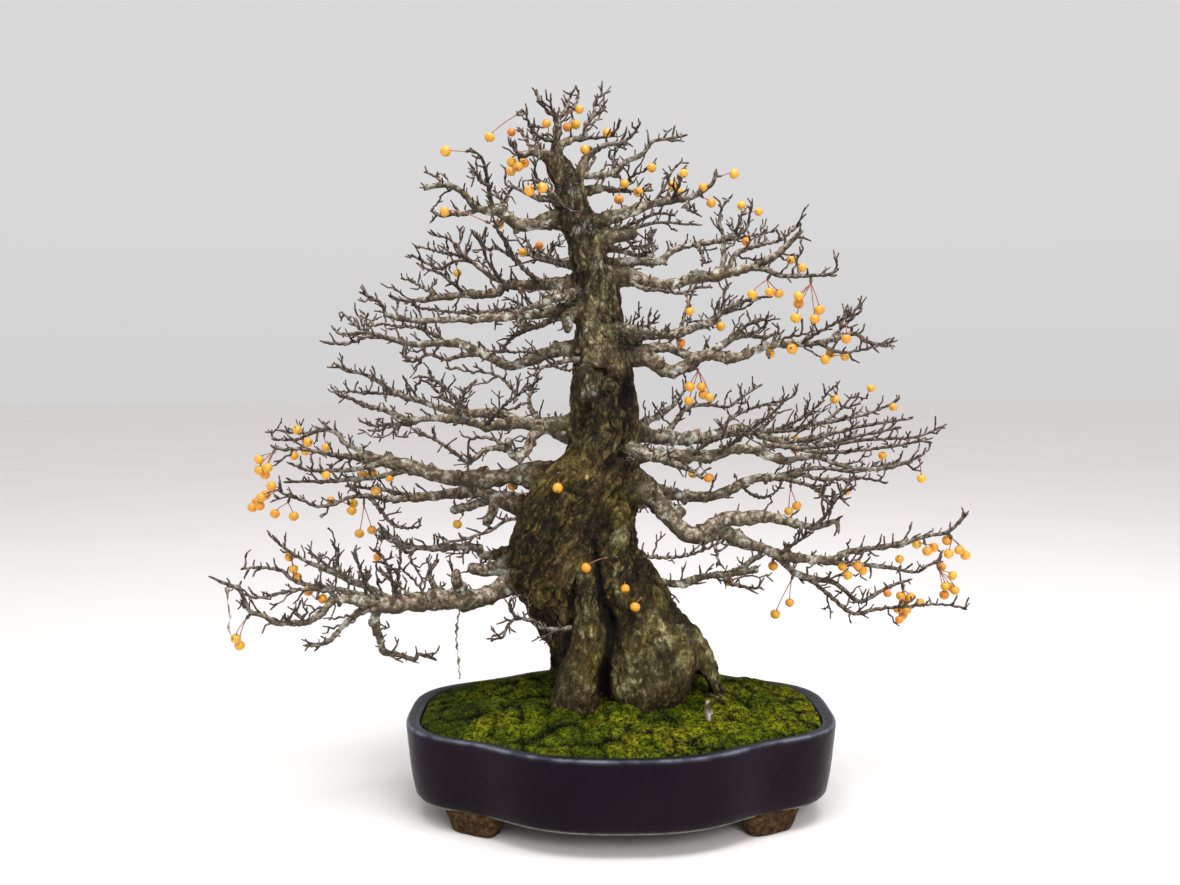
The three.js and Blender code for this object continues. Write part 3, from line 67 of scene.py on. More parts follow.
# ------------------------------------------------------------------ places, in millimetres
# The tables are drawn in a front elevation as seen from EYE, and a depth carries a point along its
# line of sight. SHIFT moves the finished shapes to the frame's own origin.
EYE = np.array([-3.0, -1332.0, 520.0])
POT_X = 29.5
pot_low, pot_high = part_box("pot")
SHIFT = np.array([500 * (pot_low.x + pot_high.x) - POT_X, 500 * (pot_low.y + pot_high.y), 0.0])


def place(x, z, depth):
    """A point of the front elevation, carried along its line of sight to a depth."""
    k = 1 + depth / -EYE[1]
    return np.array([EYE[0] + (x - EYE[0]) * k, depth, EYE[2] + (z - EYE[2]) * k])


def unit(v):
    return v / max(1e-9, float(np.linalg.norm(v)))


def smoothstep(low, high, t):
    t = np.clip((t - low) / (high - low), 0, 1)
    return t * t * (3 - 2 * t)


# ------------------------------------------------------------------ tables
# Trunk column: height, left and right edge in the front elevation, front and back depth.
TRUNK = np.array([
    (84, -30, 50, -25, 50), (112, -30, 55, -28, 52), (140, -34, 62, -32, 55), (165, -42, 78, -38, 58),
    (190, -58, 94, -42, 60), (215, -70, 94, -48, 62), (240, -80, 80, -52, 60), (262, -88, 66, -55, 58),
    (288, -95, 51, -55, 56), (315, -85, 44, -52, 52), (338, -76, 46, -47, 48), (362, -58, 49, -42, 44),
    (382, -38, 49, -38, 40), (402, -29, 48, -36, 38), (430, -26, 50, -35, 37), (460, -25, 48, -33, 35),
    (490, -22, 44, -30, 33), (515, -19, 39, -28, 31), (545, -17, 35, -26, 29), (575, -15, 31, -24, 26),
    (600, -16, 22, -20, 22), (625, -20, 13, -17, 18), (650, -30, 5, -16, 16), (675, -38, -5, -15, 14),
    (700, -42, -14, -13, 12), (722, -43, -25, -9, 9)], float)

# Buttress roots: blend with the wood around, then x, z, depth and radius of each point.
BUTTRESSES = [
    (6, [(-10, 290, -42, 7), (-11, 255, -49, 9), (-9, 225, -52, 12), (-5, 203, -52, 16),
         (-2, 184, -50, 20), (-4, 167, -48, 21), (-13, 150, -46, 20.5), (-17, 130, -46, 24),
         (-22, 112, -46, 24), (-24, 84, -44, 26)]),
    (4, [(44, 238, 0, 23), (70, 214, -8, 21), (93, 192, -12, 22), (112, 169, -14, 19),
         (126, 148, -14, 13), (136, 128, -14, 10), (140, 108, -14, 10), (142, 84, -12, 10)]),
    (12, [(-24, 232, 20, 28), (-24, 182, 38, 21), (-27, 142, 56, 17), (-32, 112, 70, 14),
          (-36, 84, 84, 10)]),
    (12, [(20, 222, 30, 30), (25, 172, 58, 24), (30, 130, 80, 19), (32, 104, 96, 13), (34, 84, 108, 8)]),
    (12, [(70, 202, 15, 26), (92, 162, 40, 20), (108, 130, 58, 15), (118, 106, 72, 11),
          (126, 84, 84, 7)]),
    (8, [(42, 264, -22, 22), (50, 238, -24, 25), (62, 215, -22, 28), (74, 192, -16, 30)]),
    (3, [(66, 170, -38, 37), (66, 150, -37, 42), (62, 124, -34, 41), (60, 96, -30, 36)]),
    (4, [(84, 176, -36, 30), (87, 155, -36, 29)]),
    (4, [(46, 150, -42, 29), (42, 128, -42, 27)]),
    (4, [(54, 180, -44, 26), (84, 182, -38, 25)]),
    (7, [(-58, 300, -26, 30), (-46, 340, -19, 26), (-24, 372, -15, 22)]),
    (7, [(-66, 262, -24, 26), (-58, 232, -20, 19)]),
    (5, [(30, 330, -38, 12), (26, 296, -42, 12), (30, 262, -44, 12), (36, 232, -44, 14)]),
    (4, [(-2, 462, -20, 17), (10, 520, -14, 17)]),
    (5, [(-6, 600, -8, 15), (-12, 628, -6, 13), (-26, 655, -4, 10)]),
]
# Clefts and rotted hollows: squeeze in depth, strength of their painted shade, then x, z, depth and radius of
# each point.
CLEFTS = [
    (0.2, 1.0, [(1, 296, -58, 2), (4, 276, -60, 2.8), (7, 250, -62, 3.0), (10, 228, -64, 3.2),
                (15, 212, -66, 5), (21, 198, -68, 6.5), (20, 184, -68, 4), (18, 168, -70, 3),
                (14, 150, -70, 4.5), (11, 134, -70, 5.5), (10, 120, -70, 5.5)]),
    (0.5, 1.0, [(112, 148, -26, 3), (118, 137, -28, 9), (120, 122, -28, 13), (120, 104, -28, 13)]),
    (0.45, 0.9, [(39, 476, -30, 4), (38, 462, -30, 6.5), (38, 450, -30, 5)]),
    (0.5, 0.45, [(-6, 499, -31, 1.2), (2, 490, -33, 2.0), (8, 489, -33, 2.6), (19, 482, -31, 2.0),
                 (31, 475, -28, 3.0)]),
    (0.5, 0.8, [(-5, 452, -36, 1.6), (-3, 443, -36, 2)]),
    (0.45, 0.3, [(51, 292, -46, 2.2), (49, 268, -50, 3.6), (45, 244, -55, 3.2), (42, 224, -60, 3)]),
    (0.5, 0.3, [(35, 207, -68, 3.4), (50, 213, -70, 2.2), (67, 215, -66, 2.6), (84, 213, -57, 2.0),
                (100, 206, -43, 2.2), (113, 194, -28, 1.8)]),
    (0.4, 0.35, [(-19, 262, -54, 1.6), (-23, 240, -53, 2.6), (-27, 212, -52, 3.4), (-31, 184, -50, 3.6),
                 (-37, 160, -48, 3.2), (-44, 140, -44, 2.6)]),
    (0.8, 0.3, [(87, 161, -83, 3.5), (89, 152, -83, 5), (86, 144, -82, 3)]),
    (0.5, 0.6, [(-3, 648, -17, 2.4), (-5, 641, -17, 2)]),
]

# Limbs and branches, one to a row: name, what it grows from (a branch, or a depth in the trunk),
# radius at the base and at the tip, depth of the tip, and its route in the front elevation as x,z.
BRANCHES = """
low 0 13 8.5 -55 -62,268 -84,256 -102,245 -118,236 -140,231 -165,231 -192,229 -218,227 -243,226
lowA low 4.2 1.6 -95 -240,225 -262,218 -276,208 -288,196 -300,184 -315,180 -332,179
lowB low 4.8 1.3 -20 -243,226 -247,208 -242,190 -237,172 -220,168 -202,163 -198,169 -186,166 -174,160
lowC low 5.5 1.5 -150 -238,227 -268,231 -292,231 -304,219 -323,206 -342,206 -359,206 -372,214 -387,219
  -394,234 -400,245 -422,254
lowD lowC 2.4 1.2 -100 -286,231 -300,242 -322,244 -346,241 -372,235 -386,236 -397,243
lowE low 3.4 1.3 -10 -238,228 -270,240 -300,246 -326,250 -341,257 -349,265 -376,269 -400,267
lowF low 4.4 1.2 60 -222,228 -255,246 -282,258 -305,268 -328,279 -345,290 -363,306
lowG lowF 2.4 1 95 -258,247 -285,262 -302,273 -312,281 -323,287
lowI low 2.4 0.9 -120 -236,228 -256,248 -262,266 -266,279 -275,288
lowJ low 2.2 0.9 -110 -214,229 -226,250 -230,268 -243,288
lowK low 4 1.8 30 -168,234 -180,248 -184,262 -178,272 -172,278
lowL low 6 5 -75 -148,233 -152,247 -155,262
lowM 0 9 6 -10 -76,276 -100,271 -118,264 -141,268
lowN low 1.4 1 -80 -146,232 -152,214 -155,190 -153,162 -151,134
slim 10 6.5 1.3 70 -80,286 -104,284 -122,281 -131,290 -150,292 -175,290 -200,291 -216,293 -226,303
  -240,318
slimA slim 2.6 1 30 -200,291 -206,280 -200,268 -193,262
slimB slim 2 0.9 125 -198,291 -218,298 -231,303 -247,306
mid 0 11 6 15 -45,372 -70,373 -92,371 -115,368 -140,369 -163,370 -186,376 -212,384 -238,389 -262,394
midA mid 3.8 1.2 75 -238,390 -262,402 -278,410 -284,420 -300,424 -318,418 -330,413 -356,413
midB mid 3.2 1.2 -60 -252,392 -285,395 -310,400 -330,403 -345,402 -363,407
midC mid 3.2 1.1 -115 -232,387 -262,380 -290,378 -318,379 -332,384 -342,388
midD mid 3.4 1.2 -20 -200,380 -232,372 -270,368 -300,366 -325,366 -350,365
fork 10 9.5 5 60 -56,338 -82,336 -100,341 -115,350 -132,353 -155,352 -178,349 -200,347
forkA fork 3.8 1.2 25 -196,347 -225,346 -250,349 -272,348 -288,341 -308,338 -325,345 -345,352 -352,356
forkB fork 3 1.1 125 -196,347 -222,354 -248,358 -280,361
forkC forkA 2.6 1 -30 -250,349 -238,334 -224,317 -206,313 -190,316
forkD fork 5 4.2 55 -110,347 -134,338 -158,333
forkE fork 5.5 4.6 0 -108,345 -113,330 -121,317
thread 0 2 1.1 -40 -70,324 -96,322 -114,311 -136,302 -160,297 -178,293
high 0 9 2.4 -45 -14,428 -38,427 -62,428 -88,430 -112,427 -140,432 -165,436 -190,435 -206,429
highA high 3.2 1.2 -115 -196,433 -216,438 -232,446 -252,450 -268,458 -281,462 -290,468
highB high 5.5 1.3 65 -80,430 -104,441 -132,441 -160,444 -182,452 -204,459 -222,466 -240,479 -258,487
  -272,489 -285,497
highC highB 2.2 1 130 -182,452 -212,462 -245,464 -270,466 -292,466
highD high 2.4 1.1 -15 -202,430 -224,429 -244,428 -259,434
highE highB 2.4 1 10 -136,441 -152,458 -168,474 -186,482 -196,480
highF highB 2.2 1 130 -142,442 -160,456 -176,470 -182,489
highG high 2.2 1 -135 -118,428 -100,448 -82,462 -70,470 -56,481
highH high 7 3.2 -70 -50,427 -66,417 -72,402 -82,392 -92,398 -94,411
highI highH 3 1.1 -125 -82,393 -100,402 -122,399 -138,388 -152,396 -176,412 -200,421
highJ highH 2.6 1 -30 -92,399 -112,413 -136,412 -139,398 -140,384
highK high 2.6 1 -150 -138,432 -150,445 -144,458 -141,472
highL highG 1.6 0.9 -100 -84,461 -100,480 -120,487 -140,488 -156,495
fourth 0 7.5 2.4 30 -8,508 -30,512 -48,508 -66,501 -84,495 -96,495 -110,502 -128,511 -150,518 -175,519
  -198,518 -216,522 -238,528
fourthA fourth 2.4 1.2 5 -236,527 -252,526 -264,521 -280,519 -301,521
fourthB fourth 2.6 1.2 65 -234,527 -252,531 -268,530 -280,531 -287,538
fourthD fourth 2.6 1.1 -65 -120,507 -146,505 -162,501 -180,507 -192,502 -201,499 -216,512
fourthE fourth 2.6 1.1 95 -158,518 -178,530 -196,537 -214,538 -232,541
fourthF -10 3 1.3 -60 -10,502 -32,498 -48,494 -62,489 -60,481
fifth 0 6 2.2 -35 -5,560 -26,556 -50,552 -76,549 -104,547 -132,545 -160,545 -190,544 -216,546
fifthA fifth 2.8 1.2 -75 -208,546 -226,551 -232,562 -244,570 -260,578
fifthB fifth 3 1.2 55 -60,551 -90,556 -120,553 -150,553 -176,556 -196,558
fifthC 0 5 1.4 65 -6,545 -24,548 -42,545 -58,538 -72,534 -82,529 -92,522 -99,511
fifthD fifthC 3 1.2 95 -70,535 -79,549 -82,562 -91,566
hook -5 7 4.5 -25 -10,556 -24,553 -28,543 -27,533
sixth 0 8 2.6 45 -5,584 -26,583 -52,583 -76,582 -96,583 -103,574 -124,573 -148,572 -170,569 -190,566
sixthA sixth 2.4 1.1 20 -186,567 -206,566 -220,569 -226,577
sixthB sixth 3 1.1 115 -92,583 -110,592 -124,602 -136,609 -152,608 -168,601 -184,608 -197,616
sixthE sixth 2.4 1 -20 -96,583 -112,604 -119,622 -116,640
sixthF sixth 2.8 1 -65 -54,583 -72,598 -86,611 -102,621 -122,622
sixthH sixth 2.4 0.9 -40 -140,573 -154,586 -168,596 -184,602 -196,610
sixthI sixth 2.2 0.9 95 -168,570 -186,580 -200,588 -213,590
sixthJ -5 6 5 -30 -8,572 -32,571 -54,569
sixthK 0 5 1.1 135 -10,600 -30,606 -48,609 -64,613 -76,624
sixthM sixthK 2.4 1 165 -48,609 -64,618 -74,636
seventh 0 8 2.2 -30 -22,654 -42,654 -62,649 -80,648 -92,656 -102,663 -116,664 -128,668 -136,678 -148,688
  -162,692 -184,688
seventhA seventh 2.8 1.2 25 -122,666 -138,661 -152,660 -166,659 -178,668
seventhB seventh 2.8 1 -75 -108,664 -112,686 -115,706 -120,720 -131,730
seventhE seventh 2 1 -15 -160,691 -170,700 -181,705
eighth 0 4 1.1 65 -36,676 -54,676 -68,681 -82,688 -93,692 -95,700
leaderL 0 6.5 3 -8 -38,700 -44,715 -52,724 -66,726 -80,722
leaderLa leaderL 2.4 1.1 -35 -74,724 -84,729 -86,742
leaderLb leaderL 2.4 1 35 -62,725 -70,738 -78,751
leaderM 0 6 3.2 5 -34,702 -38,718 -38,735 -37,752 -36,765
leaderMa leaderM 2.2 1 -25 -36,762 -48,773 -62,784
leaderMb leaderM 2.6 1.1 20 -36,762 -27,773 -24,783 -20,793
leaderMc leaderM 2.2 1 60 -36,764 -20,772 -15,783 -13,795
leaderMd leaderM 2.4 1 -55 -38,738 -54,742 -66,752 -70,764 -76,776
leaderN leaderM 4 1.1 45 -38,732 -22,740 -8,742 -6,756 3,766 5,782 19,791
leaderNb leaderN 2.2 1 5 -10,742 12,742 26,748 33,761
leaderR 0 6 3.6 10 -20,684 -13,702 -8,716 0,727
leaderRa leaderR 3.2 1.1 -25 -2,724 16,734 34,737 46,746 56,762
leaderRb leaderR 4 1.2 35 -14,700 6,701 24,704 38,716 56,724 66,737 84,740 103,744
leaderRd 0 4.5 1.3 75 -16,682 8,687 30,685 50,684 67,685
r7 0 7 1.6 -30 -2,650 20,655 40,661 62,669 86,674 108,677 122,684 133,693 136,705
r7d 5 2.6 1.2 55 0,642 28,643 44,648 60,656 78,660 96,656
r7e 5 2.8 1.1 100 0,632 30,640 50,646 70,650 94,649 121,647
stub -5 6.5 5.5 -12 -4,630 18,634 36,635 49,639
r6 5 5.5 2 80 8,604 30,606 52,608 72,607 86,617 102,624 122,627 146,630
r6a r6 2.6 1 115 62,608 68,622 64,634 70,644
r6b r6 2.4 1.2 20 116,626 122,612 121,600
r6d r6 2.4 1 125 140,629 158,640 162,652 166,665
r6e r6 2.4 1 50 144,630 168,640 173,656 176,676
r5 0 9 2.2 -40 15,590 36,591 56,587 76,582 96,585 116,590 138,591 160,597 182,603 200,612 214,624
  231,641
r5a r5 3 1.4 -95 174,601 192,599 206,592 226,591 246,592 262,593 276,601
r5b r5 2.6 1.2 -75 36,590 56,578 78,576 98,573 118,579 137,578
r5c r5 3 1 30 142,592 145,616 144,638 140,652 144,668 156,681
r5d r5 2.8 1.4 5 148,593 158,614 180,624 206,630 219,640 232,650
r4b 5 7 3.6 75 20,524 44,524 66,527 88,528 106,533 122,537 136,541
r4bA r4b 3 1.2 50 132,540 150,556 168,564 186,568 203,568
r4bB r4b 2.6 1.1 115 134,540 145,560 146,574 156,587
r4bD -10 2.6 1.1 -35 25,538 46,536 62,538 72,546 78,552
r4bE r4b 2.4 1 145 120,537 138,548 152,552 171,557
r4 0 9 5 -30 28,504 50,504 66,500 77,490 90,487 104,493 118,503 136,504 152,500
r4A r4 5 1.6 -65 148,501 166,503 182,511 206,516 230,517 254,518 274,524 292,527 303,519 326,513
r4B r4 4.5 1.4 10 126,504 142,514 156,523 172,526 190,524 205,528
r4C 10 6 4 -10 30,514 52,510 66,513 84,513 98,507 114,502
r4D r4A 2.4 1.1 -105 230,517 252,530 270,540 291,550
r4F r4A 2.2 1.1 -90 250,518 272,508 292,508 313,513
r4G r4B 2.4 1 50 154,522 168,536 184,543 199,541
r3 5 10 5 90 28,424 52,418 76,413 100,412 126,414 148,420 168,424
r3A r3 4 1.3 60 162,423 186,416 210,410 240,410 270,418 300,425 330,430 354,433
r3B r3 3.4 1.2 135 162,423 196,420 226,422 250,428 276,432 304,438 326,447 340,454
r3C r3A 3.2 1.1 25 184,416 222,403 254,402 290,408 330,411 362,413 398,428
r3D r3A 2.8 1.1 -25 200,412 236,398 272,396 306,399 340,403 366,408 382,404
r3F r3 3 1.1 165 78,413 92,430 104,446 126,450 150,447 166,458 191,474
r3G r3 2.4 1 135 138,417 160,438 190,449 220,457 229,476
r3H r3B 2.2 1 95 202,420 232,434 252,450 262,464 279,477
r3I r3B 2 1 170 258,429 278,446 288,457 306,455
r3b 0 9 4 -15 28,398 56,394 84,394 112,392 136,394 160,400 182,398 202,390 222,385
r3bA r3b 3.2 1.2 -65 216,387 246,391 270,384 290,378 322,377 348,384 374,396
r3bB r3b 3 1.1 -125 178,398 204,404 230,400 256,405 286,412 316,418 346,425
r3bC r3b 2.4 1 -150 138,395 160,410 178,424 196,436 214,453
r3bD r3b 2.4 1 -100 110,392 126,406 150,414 177,419
r3c 5 8.5 3.4 40 32,366 58,358 84,351 108,346 132,347 154,354 170,364 192,368 214,368
r3cA r3c 3 1.2 20 208,368 232,371 252,366 280,366 306,366 333,360
r3cB r3c 2.8 1.1 85 204,368 230,376 258,378 290,374 320,380 347,387
r3cC r3c 2.6 1 -25 208,368 238,360 256,350 266,340 277,346 292,359
r2 -5 13.5 6 -50 34,366 52,358 68,346 80,332 92,316 106,304 122,303 134,312 148,321 170,322 192,324
  212,321
r2A r2 5 1.8 -90 206,322 226,316 244,312 258,314 272,318 275,307
r2B r2A 2.4 1.1 -125 250,313 262,328 272,342 292,359
r2C r2 9 4 10 120,303 142,308 158,300 174,293 192,287 210,280 230,277 254,273
r2D r2C 4 1.4 -40 248,274 270,276 290,284 320,289 350,294 378,302 400,307 423,332
r2E r2C 3.2 1.2 45 248,274 280,270 310,268 340,264 364,260 378,268 397,273
r2F r2C 4 1.4 75 204,282 224,262 244,254 268,250 282,240 300,227 322,238 338,246 357,252
r2G r2F 2.6 1.2 30 242,254 268,232 292,214 318,218 350,221 382,223 404,222 425,216
r2I r2C 2.4 1 -55 208,281 228,294 245,310
r1 -5 4.5 3.2 -25 44,254 66,252 84,249 104,249 124,256 146,259 166,261 185,264
r1A r1 2.4 1.2 -75 144,258 156,248 178,243 193,244
r1B -20 2.2 1.2 -65 36,280 60,279 84,278 108,281 130,289 149,298
r1D r1 4 2.2 25 160,261 176,273 187,280
curl -50 2.8 1.1 -80 -14,199 -42,197 -60,199 -72,207 -88,209 -97,200 -103,188 -119,186
backA 10 6.5 1.6 205 14,415 34,424 56,430 78,440 96,456 104,471
backB 10 6.5 1.6 195 -10,408 -34,414 -56,430 -70,452 -66,475
backC 8 5 1.4 175 6,566 20,582 40,600 58,618 66,637
backD 20 8 2 245 0,310 28,330 60,340 90,346 113,353
backE 20 7.5 1.8 225 -40,330 -66,342 -96,350 -124,350 -151,355
backF 4 4 1.2 125 -24,672 -18,690 -6,706 6,723
backG 5 4.5 1.3 155 6,620 22,622 44,616 66,610 85,603
frontA -5 4 1.2 -125 -34,668 -46,684 -58,694 -67,698
frontB -10 6 1.6 -175 30,404 58,396 84,386 106,378 125,366
frontC -8 5 1.4 -165 -12,574 -38,568 -62,560 -91,552
frontD -8 5 1.4 -155 16,535 36,534 56,531 80,528 101,524
lowH lowF 2 0.9 10 -280,257 -287,272 -289,290 -297,304
fourthC fourthB 1.6 0.9 95 -252,531 -262,540 -279,556
sixthC sixthB 2 0.9 135 -134,609 -146,615 -162,618 -178,622 -192,626
sixthD sixthB 2 0.9 60 -132,608 -144,620 -156,633 -172,637 -183,643
sixthG sixthF 2 0.9 -95 -86,611 -92,627 -100,639 -111,650
sixthL sixthK 2 0.9 80 -40,608 -46,618 -36,632
seventhC seventhB 1.8 0.9 -105 -113,691 -122,696 -126,704 -135,706
seventhD seventh 2 0.9 40 -92,657 -96,670 -104,682 -109,688
eighthA eighth 1.8 0.9 95 -86,690 -93,680 -96,670
leaderNa leaderN 1.8 0.9 70 2,765 12,770 15,777
leaderRc leaderRb 2 1 65 24,704 24,718 29,735
leaderRe leaderRd 1.8 0.8 -10 36,685 44,699 58,706 74,716
r7a r7 1.9 1 10 68,671 80,688 88,704 96,716
r7b r7 1.9 1 -75 88,674 95,690 101,707
r7c r7 1.9 1 -60 106,677 105,664 118,661
r6f r6 2 1 135 142,630 165,633 185,637 205,641
r4bC r4b 2 1 95 98,531 103,552 112,577
r4E r4A 2 1 -25 262,520 282,540 302,557
r4H r4B 2 1 -25 170,526 186,533 197,546
r4I r4A 2 1 -20 192,513 214,523 234,527 250,533
r3cD r3c 2 1 95 164,361 176,350 188,345 202,350 213,363
r1C r1B 1.8 1 -85 136,292 140,276 138,263
curlA curl 2 1 -100 -86,209 -94,222 -92,237
lowCa lowC 1.5 0.9 -128 -316,212 -324,204 -330,213 -338,222
lowCb lowC 1.4 0.9 -140 -336,206 -345,207 -352,215
lowM1 low 1.8 0.9 -100 -222,227 -225,240 -228,262 -240,288
lowM2 lowJ 1.5 0.9 -125 -222,240 -218,266 -218,293 -232,300 -240,314
lowM3 low 1.6 0.9 -20 -184,230 -196,246 -206,258 -222,272
lowM4 low 1.6 0.9 10 -204,229 -214,244 -232,256 -246,270
midAa midA 1.6 0.9 95 -300,424 -318,420 -335,421 -356,425
highDa highD 1.5 0.9 5 -212,430 -225,427 -240,422 -252,424
fifthE fourthE 1.5 0.9 110 -232,541 -244,538 -252,535 -250,550
fourthG fourthF 1.4 0.8 -80 -44,494 -34,490 -22,487
fourthH fourthF 1.6 0.8 -95 -46,496 -60,507 -95,510 -125,512
sixthN sixthF 1.5 0.8 -85 -112,621 -118,625 -125,640
leaderX leaderL 1.8 0.9 -45 -44,716 -42,728 -38,745 -38,765 -50,778 -62,783
leaderY leaderLb 1.6 0.9 55 -58,728 -62,742 -66,755 -72,765
hang lowC 0.9 0.6 -160 -412,246 -412,230 -410,212 -412,199 -404,180
rootlet -12 1.4 0.8 -52 120,118 134,119 150,116
"""

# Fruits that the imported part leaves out: where the spur leaves its branch, then the fruit, as x,z.
EXTRA_FRUIT = [
    ("leaderLb", -77, 750, -87, 748), ("leaderMd", -46, 741, -49, 757), ("sixthB", -150, 608, -148, 596),
    ("r7", 124, 685, 122, 688), ("r5b", 104, 574, 108, 553), ("r3B", 325, 446, 334, 446),
    ("midC", -302, 378, -298, 373), ("midC", -232, 380, -227, 370), ("r2E", 345, 263, 344, 275),
    ("r3bA", 363, 390, 367, 366), ("r3cB", 322, 380, 323, 392), ("r3cA", 283, 366, 283, 352),
    ("leaderM", -36, 763, -13, 772), ("sixthG", -160, 608, -161, 663), ("leaderNb", 12, 742, 17, 747),
    ("leaderRe", 68, 712, 66, 709), ("r7b", 101, 706, 101, 703), ("r4D", 281, 545, 281, 522),
    ("r2G", 345, 221, 345, 206), ("r2F", 338, 246, 331, 236),
    ("r1B", 37, 279, 34.7, 251)]


# ------------------------------------------------------------------ noise
HASH_X, HASH_Y, HASH_Z, HASH_SALT, HASH_STIR = 374761393, 668265263, 1440662683, 974634777, 1274126177
BITS_32, BITS_24 = 0xFFFFFFFF, 0xFFFFFF


def hashed(cell, salt):
    """A number from 0 to 1 for each row of whole-numbered places."""
    c = cell.astype(np.int64)
    n = (c[:, 0] * HASH_X + c[:, 1] * HASH_Y + c[:, 2] * HASH_Z + salt * HASH_SALT) & BITS_32
    n = ((n ^ (n >> 13)) * HASH_STIR) & BITS_32
    return ((n ^ (n >> 16)) & BITS_24) / float(BITS_24)


def noise(p, salt=0):
    """Smooth noise from -1 to 1, with features about as large as one unit of p."""
    cell = np.floor(p)
    t = p - cell
    t = t * t * (3 - 2 * t)
    total = np.zeros(len(p))
    for corner in np.ndindex(2, 2, 2):
        weight = np.prod(np.where(corner, t, 1 - t), axis=1)
        total += weight * hashed(cell + corner, salt)
    return 2 * total - 1


def fractal(p, octaves=3, salt=0):
    """Noise with finer noise added to it, each octave half as strong as the one before."""
    return sum(noise(p * 2.03 ** i + 17.1 * i, salt + i) / 2 ** i for i in range(octaves))


def bent(p, size, *salts):
    """Noise along each axis that has a salt, and nothing along the others."""
    return np.column_stack([noise(p / size, salt) for salt in salts] + [0 * p[:, 0]] * (3 - len(salts)))


def cells(p, salt=0):
    """Distances to the nearest and second nearest of scattered points, and the nearest one's number."""
    cell = np.floor(p)
    first, second, number = np.full(len(p), 9.0), np.full(len(p), 9.0), np.zeros(len(p))
    for step in np.ndindex(3, 3, 3):
        near = cell + np.array(step) - 1
        spot = near + np.stack([hashed(near, salt + i) for i in range(3)], axis=1)
        off = np.linalg.norm(spot - p, axis=1)
        nearer = off < first
        second = np.where(nearer, first, np.minimum(second, off))
        number = np.where(nearer, hashed(near, salt + 7), number)
        first = np.where(nearer, off, first)
    return first, second, number


# ------------------------------------------------------------------ meshes
def in_scene(name, data):
    """A new object of the scene, made of some data."""
    thing = bpy.data.objects.new(name, data)
    bpy.context.scene.collection.objects.link(thing)
    return thing


def make_piece(name, verts, faces, materials, values=(), of_face=None, shift=True):
    """A smooth-shaded mesh object from millimetre points. faces is a list of arrays, one for each
    number of corners, values are named numbers kept at the points, and of_face gives material numbers."""
    mesh = bpy.data.meshes.new(name)
    verts = (np.asarray(verts, float) + (SHIFT if shift else 0)) * 0.001
    mesh.vertices.add(len(verts))
    mesh.vertices.foreach_set("co", verts.astype(np.float32).ravel())
    faces = [np.asarray(f, np.int32) for f in faces if len(f)]
    corners = np.concatenate([f.ravel() for f in faces])
    sizes = np.concatenate([np.full(len(f), f.shape[1], np.int32) for f in faces])
    mesh.loops.add(len(corners))
    mesh.loops.foreach_set("vertex_index", corners)
    mesh.polygons.add(len(sizes))
    mesh.polygons.foreach_set("loop_start", np.concatenate([[0], np.cumsum(sizes)[:-1]]).astype(np.int32))
    mesh.polygons.foreach_set("use_smooth", np.ones(len(sizes), bool))
    for material in materials:
        mesh.materials.append(material)
    if of_face is not None:
        mesh.polygons.foreach_set("material_index", np.concatenate(of_face).astype(np.int32))
    for key, value in dict(values).items():
        layer = mesh.attributes.new(key, "FLOAT", "POINT")
        layer.data.foreach_set("value", np.asarray(value, np.float32))
    mesh.update(calc_edges=True)
    mesh.validate()
    return in_scene(name, mesh)


def lofted(rows, count, first=0):
    """Quads between rings of points that follow one another."""
    i, s = (v.ravel() for v in np.meshgrid(np.arange(rows - 1), np.arange(count), indexing="ij"))
    a, b = first + i * count + s, first + i * count + (s + 1) % count
    return np.stack([a, b, b + count, a + count], axis=1)


def fan(ring, middle, order=(0, 1, 2)):
    """Triangles from a ring of points to one in its middle, their corners in a stated order."""
    return np.stack([ring, np.roll(ring, -1), np.full(len(ring), middle)], axis=1)[:, order]


def normals_of(verts, quads):
    """Normals at a surface's points, from the quads round each."""
    tri = np.vstack([quads[:, [0, 1, 2]], quads[:, [0, 2, 3]]])
    a, b, c = (verts[tri[:, i]] for i in range(3))
    flat = np.cross(b - a, c - a)
    normal = np.zeros_like(verts)
    for i in range(3):
        for axis in range(3):
            normal[:, axis] += np.bincount(tri[:, i], flat[:, axis], len(verts))
    return normal / np.maximum(1e-12, np.linalg.norm(normal, axis=1, keepdims=True))


def spline(points, step):
    """Catmull-Rom curve through rows of numbers, the first three of them a place."""
    points = np.asarray(points, float)
    padded = np.vstack([2 * points[0] - points[1], points, 2 * points[-1] - points[-2]])
    rows = []
    for i in range(len(points) - 1):
        a, b, c, d = padded[i:i + 4]
        count = max(1, int(math.ceil(np.linalg.norm((c - b)[:3]) / step)))
        t = (np.arange(count) / count)[:, None]
        rows.append(0.5 * (2 * b + (c - a) * t + (2 * a - 5 * b + 4 * c - d) * t ** 2
                           + (3 * b - a - 3 * c + d) * t ** 3))
    rows.append(points[-1:])
    return np.vstack(rows)


def along(points):
    """Running length at each point of a route."""
    return np.concatenate([[0], np.cumsum(np.linalg.norm(np.diff(points[:, :3], axis=0), axis=1))])


